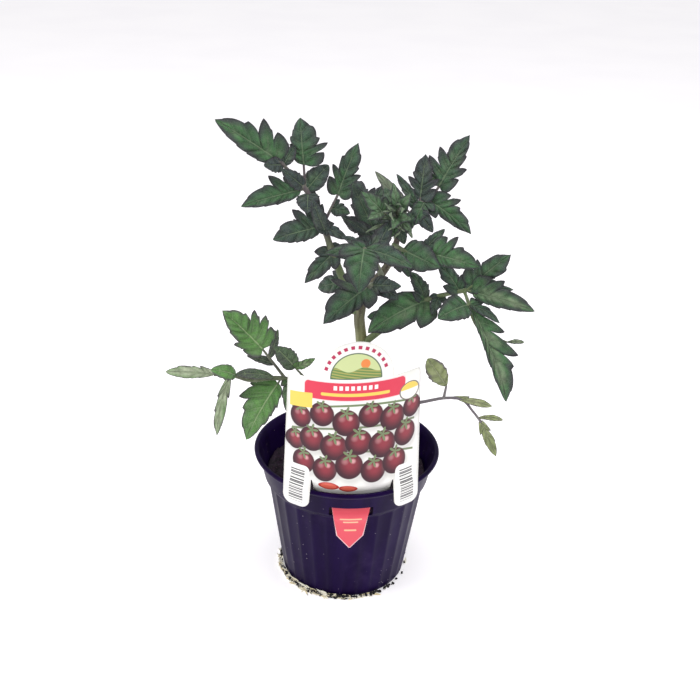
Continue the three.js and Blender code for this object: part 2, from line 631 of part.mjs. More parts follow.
function labelPoint(across, height, onTab, depth) {
  const turn = across / label.bendRadius + THREE.MathUtils.degToRad(label.centreAngle);
  const radius = labelRadius(height, onTab) + depth;
  const raised = Math.max(0, height - label.mergeHeight);
  const skew = (label.shoulderSlope * across * raised) / (label.shoulderHeight - label.mergeHeight);
  const y = label.leanBack * raised - radius * Math.cos(turn);
  return new THREE.Vector3(radius * Math.sin(turn), y, height + skew);
}

// The card as a grid of cells over its outline, bent round the pot's lip
function labelSolid() {
  const { halfWidth, tabInner, tabLow, shoulderHeight, archTop, archHalfWidth, mergeHeight, corner } = label;
  const { tongueHalf, tongueTop, tongueShoulder, tongueTip, cut } = label;
  const rightColumns = [0, 8, tongueHalf, 21, archHalfWidth, tabInner - cut, tabInner, tabInner + corner, 40];
  rightColumns.push(halfWidth - corner, halfWidth);
  const columns = [...rightColumns.slice(1).map((x) => -x).reverse(), ...rightColumns];
  const rows = [tongueTip, 59, tongueShoulder, 71, 78, 84, tabLow, tabLow + corner, tongueTop];
  rows.push(pot.height + 1, pot.height + 4, mergeHeight, mergeHeight + 14);
  rows.push(shoulderHeight - corner, shoulderHeight);
  rows.push(195, 202, 208, 213, archTop);

  const isCard = (i, j) => {
    if (i < 0 || j < 0 || i >= columns.length - 1 || j >= rows.length - 1) return false;
    const across = Math.abs(columns[i] + columns[i + 1]) / 2;
    const low = rows[j];
    if (low >= shoulderHeight) return across < archHalfWidth;
    if (low >= mergeHeight) return true;
    if (across > tabInner) return low >= tabLow;
    if (across > tabInner - cut) return false;
    return low >= tongueTop || across < tongueHalf;
  };
  const place = (i, j, depth) => {
    let across = columns[i];
    let height = rows[j];
    const onTab = Math.abs(across) >= tabInner && height < mergeHeight;
    const outerEdge = Math.abs(across) === halfWidth;
    if (height > shoulderHeight) {
      across *= Math.sqrt(1 - ((height - shoulderHeight) / (archTop - shoulderHeight + 0.6)) ** 2);
    }
    if (height < tongueTop && Math.abs(across) <= tongueHalf) {
      across *= valueAt(height, [[tongueTip, 0.02], [tongueShoulder, 0.72], [tabLow, 1], [tongueTop, 1]]);
    }
    if (onTab && height === tabLow && (outerEdge || Math.abs(across) === tabInner)) height += corner;
    if (height === shoulderHeight && outerEdge) height -= corner;
    return labelPoint(across, height, onTab, depth);
  };

  const points = [];
  const numbered = new Map();
  const vertex = (i, j, depth) => {
    const key = `${i},${j},${depth}`;
    if (!numbered.has(key)) numbered.set(key, points.push(place(i, j, depth)) - 1);
    return numbered.get(key);
  };
  const faces = [];
  const quad = (a, b, c, d) => faces.push([a, b, c], [a, c, d]);
  for (let i = 0; i < columns.length - 1; i++) {
    for (let j = 0; j < rows.length - 1; j++) {
      if (!isCard(i, j)) continue;
      const corners = [[i, j], [i + 1, j], [i + 1, j + 1], [i, j + 1]];
      const [f0, f1, f2, f3] = corners.map(([a, b]) => vertex(a, b, label.thickness / 2));
      const [b0, b1, b2, b3] = corners.map(([a, b]) => vertex(a, b, -label.thickness / 2));
      quad(f0, f1, f2, f3);
      faces.push([b0, b2, b1], [b0, b3, b2]);
      if (!isCard(i, j - 1)) quad(f0, b0, b1, f1);
      if (!isCard(i + 1, j)) quad(f1, b1, b2, f2);
      if (!isCard(i, j + 1)) quad(f2, b2, b3, f3);
      if (!isCard(i - 1, j)) quad(f3, b3, b0, f0);
    }
  }
  return largestBody(solidOf(geometryFrom(points, faces)));
}

// Litter: pale husks and root ends that cling round the pot's foot

function litterSolid() {
  let seed = 20;
  const random = () => {
    seed = (seed * 1103515245 + 12345) % 2147483648;
    return seed / 2147483648;
  };
  const inner = pot.footRadius + gap + 0.05;
  const profile = [[inner, 0.3], [inner + 2.6, 0.3], [inner + 2, 1.8], [inner, 2.6], [inner, 0.3]];
  let solid = solidOf(turnedAboutZ(profile, 30));
  const husks = 40;
  const pieces = [];
  for (let i = 0; i < husks; i++) {
    const turn = ((i + 0.5 * random()) / husks) * 2 * Math.PI;
    const husk = new THREE.OctahedronGeometry(1, 0).scale(3.2 + 1.6 * random(), 0.8 + 0.4 * random(), 0.7);
    husk.rotateY(0.5 * (random() - 0.5)).rotateZ(Math.PI / 2 + turn + 1.5 * (random() - 0.5));
    const radius = inner + 2.3 + 1.2 * random();
    husk.translate(radius * Math.cos(turn), radius * Math.sin(turn), 1.5 + 1.3 * random());
    pieces.push(solidOf(husk));
  }
  for (const piece of pieces) solid = solid.add(piece);
  const keepOut = solidOf(
    turnedAboutZ([[0, -5], [inner, -5], [inner, 2.6], [inner + 1.2, 12], [0, 12]], 30),
  );
  const floor = solidOf(new THREE.BoxGeometry(200, 200, 10).translate(0, 0, -4.8));
  return largestBody(solid.subtract(keepOut).subtract(floor));
}

// Assembly

function meshOf(name, solid, colour, roughness) {
  const mesh = new THREE.Mesh(
    geometryOf(solid),
    new THREE.MeshStandardMaterial({ color: colour, roughness, metalness: 0, flatShading: true }),
  );
  mesh.name = name;
  return mesh;
}

const stemSolid = solidOf(stemGeometry(0));
const stemRoom = solidOf(stemGeometry(gap));

const plant = new THREE.Group();
plant.add(meshOf("pot", potSolid(), colours.pot, 0.45));
plant.add(meshOf("soil", soilSolid(stemRoom), colours.soil, 1));
plant.add(meshOf("label", labelSolid(), colours.label, 0.35));
plant.add(meshOf("foot_litter", litterSolid(), colours.litter, 0.9));
plant.add(meshOf("stem", stemSolid, colours.stem, 0.7));
for (const [name, leaf] of Object.entries(leaves)) {
  plant.add(meshOf(name, leafSolid(leaf, stemRoom), leaf.colour, 0.75));
}

export default plant;
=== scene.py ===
# A young cherry tomato plant in a fluted nursery pot, with its soil and its plant label.
# Shapes are worked out in millimetres, in the frame of the CAD model, and put into meshes in metres.
import math

import bmesh
import bpy
import numpy as np
from mathutils import Matrix, Vector
from mathutils.geometry import delaunay_2d_cdt


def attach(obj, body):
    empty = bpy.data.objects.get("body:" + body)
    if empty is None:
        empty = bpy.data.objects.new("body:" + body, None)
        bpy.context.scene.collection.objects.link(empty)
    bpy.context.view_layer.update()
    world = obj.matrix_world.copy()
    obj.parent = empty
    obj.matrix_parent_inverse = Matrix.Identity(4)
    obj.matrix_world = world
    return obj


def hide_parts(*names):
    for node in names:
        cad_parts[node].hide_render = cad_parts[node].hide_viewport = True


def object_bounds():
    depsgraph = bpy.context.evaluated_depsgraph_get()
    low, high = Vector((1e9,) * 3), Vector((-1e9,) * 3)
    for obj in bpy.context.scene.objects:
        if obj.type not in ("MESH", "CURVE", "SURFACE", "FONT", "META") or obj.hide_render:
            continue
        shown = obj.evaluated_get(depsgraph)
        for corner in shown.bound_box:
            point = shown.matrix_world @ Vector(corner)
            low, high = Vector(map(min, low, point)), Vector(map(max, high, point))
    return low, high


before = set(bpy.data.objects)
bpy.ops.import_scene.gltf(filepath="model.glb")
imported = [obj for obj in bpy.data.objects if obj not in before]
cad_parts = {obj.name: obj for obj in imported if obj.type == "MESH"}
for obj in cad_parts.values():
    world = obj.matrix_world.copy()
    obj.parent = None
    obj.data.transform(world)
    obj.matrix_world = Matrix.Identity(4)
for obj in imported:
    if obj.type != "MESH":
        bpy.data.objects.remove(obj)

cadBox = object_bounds()
mm = 0.001
boxLow, boxHigh = (np.array(corner) / mm for corner in cadBox)


def addObject(name, data):
    # An object around its data, put into the scene
    made = bpy.data.objects.new(name, data)
    bpy.context.scene.collection.objects.link(made)
    return made


# Camera, fitted to the photo: its place, how far it looks down, its roll in degrees and its lens
camera = {"place": (0, -656.09, 496.33), "down": 25.35, "roll": 1.9, "lens": 51.43, "sensor": 36,
          "near": 0.01, "far": 60}


def makeCamera():
    # Axes: forward = (0, cos down, -sin down), up = right x forward, both turned by roll about forward
    down, roll = math.radians(camera["down"]), math.radians(camera["roll"])
    forward = Vector((0, math.cos(down), -math.sin(down)))
    right = Vector((1, 0, 0))
    up = right.cross(forward)
    turnedRight = right * math.cos(roll) + up * math.sin(roll)
    turnedUp = up * math.cos(roll) - right * math.sin(roll)
    data = bpy.data.cameras.new("photoCamera")
    data.sensor_width, data.lens = camera["sensor"], camera["lens"]
    data.clip_start, data.clip_end = camera["near"], camera["far"]
    holder = addObject("photoCamera", data)
    axes = Matrix((turnedRight, turnedUp, -forward)).transposed().to_4x4()
    holder.matrix_world = Matrix.Translation(Vector(camera["place"]) * mm) @ axes
    bpy.context.scene.camera = holder
    bpy.context.scene.view_settings.view_transform = "Standard"


makeCamera()
print("camera made")

# Mesh helpers


def gridQuads(rows, columns, start=0, closed=False):
    # Quads of a grid of points numbered row by row; closed joins its last column to its first
    across = columns if closed else columns - 1
    i, j = np.meshgrid(np.arange(rows - 1), np.arange(across), indexing="ij")
    a = start + i * columns + j
    b = start + i * columns + (j + 1) % columns
    return np.stack([a, b, b + columns, a + columns], -1).reshape(-1, 4)


def ringFan(first, columns, pole, outward):
    # Triangles that close a ring of points numbered from first with one point at its pole
    k = np.arange(columns)
    a, b = first + k, first + (k + 1) % columns
    tip = np.full(columns, pole)
    return np.stack([a, b, tip] if outward else [b, a, tip], -1)


def part(points, quads=None, tris=None, uv=None, tint=0.5, finish=0):
    # One stretch of a piece: its points, faces, UV map, tint, and each face's place in the list of finishes
    points = np.asarray(points, float).reshape(-1, 3)
    quads = np.zeros((0, 4), int) if quads is None else np.asarray(quads).reshape(-1, 4)
    tris = np.zeros((0, 3), int) if tris is None else np.asarray(tris).reshape(-1, 3)
    quadFinish, triFinish = finish if isinstance(finish, tuple) else (finish, finish)
    return {
        "points": points,
        "quads": quads,
        "tris": tris,
        "uv": np.zeros((len(points), 2)) if uv is None else np.asarray(uv, float).reshape(-1, 2),
        "tint": np.broadcast_to(np.asarray(tint, float), (len(points),)),
        "quadFinish": np.broadcast_to(np.asarray(quadFinish, int), (len(quads),)),
        "triFinish": np.broadcast_to(np.asarray(triFinish, int), (len(tris),)),
    }


def ringPart(grid, poles, uv=None, tint=0.5, finish=0, flip=False):
    # A grid whose rows are closed rings, with a pole at each end
    rows, columns = grid.shape[:2]
    count = rows * columns
    quads = gridQuads(rows, columns, closed=True)
    tris = np.vstack([ringFan(0, columns, count, False), ringFan(count - columns, columns, count + 1, True)])
    if flip:
        quads, tris = quads[:, ::-1], tris[:, ::-1]
    return part(np.vstack([grid.reshape(-1, 3), poles]), quads, tris, uv, tint, finish)


def gridLoop(rows, columns, end=None):
    # Point numbers once round a grid's outline, with one end point in place of its last row if that is given
    left = np.arange(rows) * columns
    last = (rows - 1) * columns + np.arange(1, columns - 1) if end is None else [end]
    return np.concatenate([left, last, (left + columns - 1)[::-1], np.arange(columns - 1)[::-1]])


def slab(top, offset, quads, tris, loop):
    # A sheet and its copy at an offset, joined by a rim along the loop: points, quads and triangles
    n = len(top)
    rim = np.column_stack([loop[:-1], loop[1:], loop[1:] + n, loop[:-1] + n])
    return (np.vstack([top, top + offset]), np.vstack([quads, rim, quads[:, ::-1] + n]),
            np.vstack([tris, tris[:, ::-1] + n]))


def makePiece(name, parts, finishes, node, sharp=50):
    # All parts in one mesh at the origin, with a UV map and a tint for each point, in place of a CAD node
    starts = np.cumsum([0] + [len(p["points"]) for p in parts])
    points, uv = (np.vstack([p[key] for p in parts]) for key in ("points", "uv"))
    tint = np.concatenate([p["tint"] for p in parts])
    quads, tris = (np.vstack([p[key] + s for p, s in zip(parts, starts)]) for key in ("quads", "tris"))
    kinds = np.concatenate([p["quadFinish"] for p in parts] + [p["triFinish"] for p in parts])
    corners = np.concatenate([quads.ravel(), tris.ravel()]).astype(np.int32)
    totals = np.repeat([4, 3], [len(quads), len(tris)])
    mesh = bpy.data.meshes.new(name)
    mesh.vertices.add(len(points))
    mesh.vertices.foreach_set("co", (points * mm).astype(np.float32).ravel())
    mesh.loops.add(len(corners))
    mesh.loops.foreach_set("vertex_index", corners)
    mesh.polygons.add(len(totals))
    mesh.polygons.foreach_set("loop_start", (np.cumsum(totals) - totals).astype(np.int32))
    mesh.polygons.foreach_set("material_index", kinds.astype(np.int32))
    mesh.update(calc_edges=True)
    mesh.uv_layers.new(name="UVMap").data.foreach_set("uv", uv[corners].astype(np.float32).ravel())
    mesh.attributes.new("tint", "FLOAT", "POINT").data.foreach_set("value", tint.astype(np.float32))
    mesh.shade_smooth()
    mesh.set_sharp_from_angle(angle=math.radians(sharp))
    mesh.validate()
    for finish in finishes:
        mesh.materials.append(finish)
    piece = addObject(name, mesh)
    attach(piece, "root")
    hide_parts(node)
    return piece


def unit(v):
    # v / |v|
    return v / np.linalg.norm(v, axis=-1, keepdims=True)


def ringPlaces(radius, turn, height):
    # place(r, a, h) = (r cos a, r sin a, h)
    return np.stack(np.broadcast_arrays(radius * np.cos(turn), radius * np.sin(turn), height), -1)


def fullTurn(count):
    # Even angles round a circle
    return np.arange(count) / count * 2 * np.pi


def smoothRoute(stops, steps=24):
    # A line through its stops: centripetal Catmull-Rom, each span a cubic, its knots sqrt(distance) apart
    stops = np.array(stops, float)
    p = np.vstack([2 * stops[0] - stops[1], stops, 2 * stops[-1] - stops[-2]])
    p0, p1, p2, p3 = p[:-3], p[1:-2], p[2:-1], p[3:]
    d0, d1, d2 = (np.sqrt(np.linalg.norm(b - a, axis=1))[:, None] for a, b in ((p0, p1), (p1, p2), (p2, p3)))
    t1 = ((p1 - p0) / d0 - (p2 - p0) / (d0 + d1) + (p2 - p1) / d1) * d1
    t2 = ((p2 - p1) / d1 - (p3 - p1) / (d1 + d2) + (p3 - p2) / d2) * d1
    w = np.linspace(0, 1, steps, endpoint=False)[None, :, None]
    p1, p2, t1, t2 = p1[:, None], p2[:, None], t1[:, None], t2[:, None]
    line = p1 + t1 * w + (3 * p2 - 3 * p1 - 2 * t1 - t2) * w**2 + (2 * p1 - 2 * p2 + t1 + t2) * w**3
    return np.vstack([line.reshape(-1, 3), stops[-1:]])


def alongLine(line, shares):
    # Points at shares of a line's length
    lengths = np.concatenate([[0], np.cumsum(np.linalg.norm(np.diff(line, axis=0), axis=1))])
    return np.stack([np.interp(np.asarray(shares) * lengths[-1], lengths, line[:, k]) for k in range(3)], -1)


def tube(line, radii, sides, rows, sideHint, ribs=0.0, finish=0, tint=0.5, swellings=()):
    # place(s, a) = line(s) + radius(s) (1 + ribs cos 5a) (cos a side + sin a over), closed at both ends
    shares = np.linspace(0, 1, rows)
    centres = alongLine(line, shares)
    along = unit(np.gradient(centres, axis=0))
    side = unit(np.cross(along, sideHint))
    over = np.cross(side, along)
    radius = np.interp(shares * (len(radii) - 1), np.arange(len(radii)), radii)
    for place, height, spread in swellings:
        radius = radius * (1 + height * np.exp(-(((shares - place) / spread) ** 2)))
    turn = fullTurn(sides)[None, :, None]
    reach = radius[:, None, None] * (1 + ribs * np.cos(5 * turn))
    grid = centres[:, None] + reach * (np.cos(turn) * side[:, None] + np.sin(turn) * over[:, None])
    ends = np.stack([centres[0] - 0.2 * (centres[1] - centres[0]), centres[-1]])
    uv = np.stack(np.broadcast_arrays(shares[:, None], turn[..., 0] / 7), -1).reshape(-1, 2)
    uv = np.vstack([uv, [[0, 0.5], [1, 0.5]]])
    low, high = np.broadcast_to(tint, 2)
    return ringPart(grid, ends, uv, low + (high - low) * uv[:, 0], finish, True)


def hairsOn(line, radii, count, length, sideHint, draw, finish=0):
    # Fine closed spikes: a triangle 0.12 wide on the tube's skin at a random share and turn, its tip outside
    shares = draw.random(count) * 0.98 + 0.01
    centres = alongLine(line, shares)
    along = unit(alongLine(line, shares + 0.005) - alongLine(line, shares - 0.005))
    side = unit(np.cross(along, sideHint))
    over = np.cross(side, along)
    turn = draw.random(count) * 2 * np.pi
    out = np.cos(turn)[:, None] * side + np.sin(turn)[:, None] * over
    radius = np.interp(shares * (len(radii) - 1), np.arange(len(radii)), radii)[:, None]
    root = centres + out * (radius * 0.94)
    reach = length * (0.5 + 0.7 * draw.random((count, 1)))
    tip = root + out * (reach + 0.06 * radius) + along * (draw.random((count, 1)) - 0.5) * reach
    across = np.cross(along, out)
    feet = [root + 0.06 * (math.cos(a) * along + math.sin(a) * across) for a in (0, 2.1, 4.2)]
    points = np.stack([*feet, tip], 1).reshape(-1, 3)
    base = np.arange(count)[:, None] * 4
    tris = np.concatenate([base + [1, 0, 3], base + [2, 1, 3], base + [0, 2, 3], base + [0, 1, 2]])
    return part(np.clip(points, boxLow, boxHigh), None, tris, None, 0.9, finish)


# Materials: a wire is an output of a node, and sums and products of wires make Math nodes


class Wire:
    def __init__(self, socket):
        self.socket = socket

    def __add__(self, other):
        return maths("ADD", self, other)

    def __sub__(self, other):
        return maths("SUBTRACT", self, other)

    def __rsub__(self, other):
        return maths("SUBTRACT", other, self)

    def __mul__(self, other):
        return maths("MULTIPLY", self, other)

    def __abs__(self):
        return maths("ABSOLUTE", self)


def screenColour(levels):
    # An 8-bit screen colour as linear light
    value = np.array(levels) / 255
    linear = np.where(value <= 0.04045, value / 12.92, ((value + 0.055) / 1.055) ** 2.4)
    return (*linear.tolist(), 1.0)


def feed(node, given):
    # Gives inputs of a node, by name or number: a wire, an 8-bit screen colour or a plain value
    for name, value in given.items():
        socket = node.inputs[name]
        if isinstance(value, Wire):
            node.id_data.links.new(value.socket, socket)
        else:
            socket.default_value = screenColour(value) if socket.type == "RGBA" else value


def addNode(tree, kind, given, output=0, **settings):
    # A new node with its settings and its inputs; gives back a wire from one output
    node = tree.nodes.new("ShaderNode" + kind)
    for name, value in settings.items():
        setattr(node, name, value)
    feed(node, given)
    return Wire(node.outputs[output])


def treeOf(*values):
    # The node tree of the first wire among some values
    return next(value.socket.id_data for value in values if isinstance(value, Wire))


def maths(kind, *values):
    # One step of arithmetic on wires and plain numbers
    return addNode(treeOf(*values), "Math", dict(enumerate(values)), operation=kind)


def vectors(kind, a, b=(0, 0, 0)):
    # One step of vector arithmetic; a distance or a length is one number
    output = "Value" if kind in ("DISTANCE", "LENGTH") else "Vector"
    return addNode(treeOf(a, b), "VectorMath", {0: a, 1: b}, output, operation=kind)


def ramp(value, low, high, toLow=0.0, toHigh=1.0):
    # Smooth step of a value from low to high
    given = {"Value": value, "From Min": low, "From Max": high, "To Min": toLow, "To Max": toHigh}
    return addNode(treeOf(value), "MapRange", given, "Result", interpolation_type="SMOOTHSTEP")


def blend(share, a, b, kind="MIX"):
    # a (1 - share) + b share, or another way to mix two colours
    given = {"Factor": share, 6: a, 7: b}
    return addNode(treeOf(share, a, b), "Mix", given, 2, data_type="RGBA", blend_type=kind)


def painted(flat, *coats):
    # Coats laid one over another, each a share and a tone
    for share, tone in coats:
        flat = blend(share, flat, tone)
    return flat


def noise(place, scale, detail=3.0, roughness=0.5, stretch=None):
    # Smooth noise at a place, stretched along its axes where asked
    tree = treeOf(place)
    if stretch:
        place = addNode(tree, "Mapping", {"Vector": place, "Scale": stretch})
    given = {"Vector": place, "Scale": scale, "Detail": detail, "Roughness": roughness}
    return addNode(tree, "TexNoise", given, "Fac")


def cells(place, scale, feature="F1"):
    # Distance to the nearest of many scattered points, or to the edges between them
    given = {"Vector": place, "Scale": scale}
    return addNode(treeOf(place), "TexVoronoi", given, "Distance", feature=feature)


def split(place):
    # The x and y of a place
    node = treeOf(place).nodes.new("ShaderNodeSeparateXYZ")
    feed(node, {0: place})
    return Wire(node.outputs[0]), Wire(node.outputs[1])


def newMaterial(name):
    # A material with nodes, and its node tree
    made = bpy.data.materials.new(name)
    made.use_nodes = True
    return made, made.node_tree


def objectPlace(tree):
    # The place on the object, in metres
    return addNode(tree, "TexCoord", {}, "Object")


def mapPlace(tree):
    # The place on the UV map
    return addNode(tree, "UVMap", {}, uv_map="UVMap")


def tintOf(tree):
    # The tint that each point carries
    return addNode(tree, "Attribute", {}, "Fac", attribute_name="tint")


def shaded(made, flat, rough, relief=None, levels=None):
    # Gives a material its colour, roughness, relief (height, strength, depth in millimetres) and plain levels
    given = {"Base Color": flat, "Roughness": rough, **(levels or {})}
    if relief:
        height, strength, depth = relief
        lift = {"Height": height, "Strength": strength, "Distance": depth * mm}
        given["Normal"] = addNode(made.node_tree, "Bump", lift)
    feed(made.node_tree.nodes["Principled BSDF"], given)
    return made


# Stem and leaves

stem = {
    "route": [(0, 0, 45), (0, 0, 84), (3, 1, 148), (8, 0, 191), (6, -1, 214), (9, -1, 230), (19, 1, 243),
              (27, 3, 256), (30, 3, 270), (30, 2, 280)],
    "radii": [4, 4.2, 4, 3.8, 3.6, 3.3, 4, 3.4, 2.5, 1.6],  # at even steps of its length
    "ribs": 0.045,
    "sides": 30,
    "rows": 170,
    "hairs": 1500,
    "hairLength": 1.1,
    "knots": [0.38, 0.46, 0.62, 0.72, 0.82, 0.93],  # swellings where leaves leave, as shares of its length
    "knot": (0.1, 0.02),  # their height and spread
    # toward its tip the stem darkens to purple brown: partly its own colour, partly painted shade under the
    # leaves
    "tones": (-1.5, 1.5),  # from its foot to its tip
}
blade = {
    "thickness": 0.4,
    "foldUp": 0.2,  # rise of the edge for each millimetre of half-width
    "quilting": 0.028,  # height of the cushions between the veins, as a share of the leaflet's width
    "ruffle": 0.035,  # wave of the edge, as a share of the leaflet's width
    "teeth": 0.17,  # depth of the shallow teeth
    "curl": 0.08,  # how far the edge turns down, as a share of the leaflet's width
    "columns": 15,
}
stalkShape = {
    "ribs": 0.05, "sides": 12, "sideSides": 10, "sideRows": 16, "leastRows": 24,
    "knotAtStem": (0.0, 0.25, 0.05), "knot": (0.12, 0.02),  # share, height and spread of a swelling
    "hairs": 3, "hairLength": 0.8,  # hairs for each millimetre
    "sideHairs": 50, "sideHairLength": 0.7,
    "bare": (0.8, 0.7), "bareSides": 8, "bareRows": 6, "bareInto": 0.05,  # a leaflet's own bare stalk
}

# The edge of a leaflet, in shares of its midrib, of its length and of its half-width
edge = {
    "ovatePeak": 0.72,  # an entire leaflet is widest where this power of the share is a half
    "ovateFullness": 0.65,  # below 1 its shoulders are fuller
    "sweep": 0.6,  # power by which an entire side's veins run forward
    "baseWidth": 0.06,
    "firstVein": 0.05,
    "veinPitch": 0.14,
    "notchVein": 0.06,  # from a lobe's vein to its notch's
    "firstTip": 0.4,  # how far forward the tip of the first lobe is
    "tipShift": 0.08,  # how much less so for each lobe of the side
    "tipPitch": 0.22,
    "outerLoss": 0.12,  # shortening of a lobe that is not the second
    "dropBack": 0.03,  # how far a notch lies behind its lobe's tip, for each lobe so far
    "notchLoss": 0.08,  # each further notch is deeper by this
    "endWidth": 0.72,  # half-width of the blade's end
    "endLoss": 0.07,  # how much less for each lobe of the side
    "lobedSide": 0.2,  # how much wider a side is for each lobe that it has more than the other
    "spoonBase": 0.4,  # reach of a spoon-shaped leaflet at its base, and what it gains to its tip
    "spoonGrowth": 0.9,
    "swellRows": 11,
    "backRows": 5,
    "endRows": 32,
}
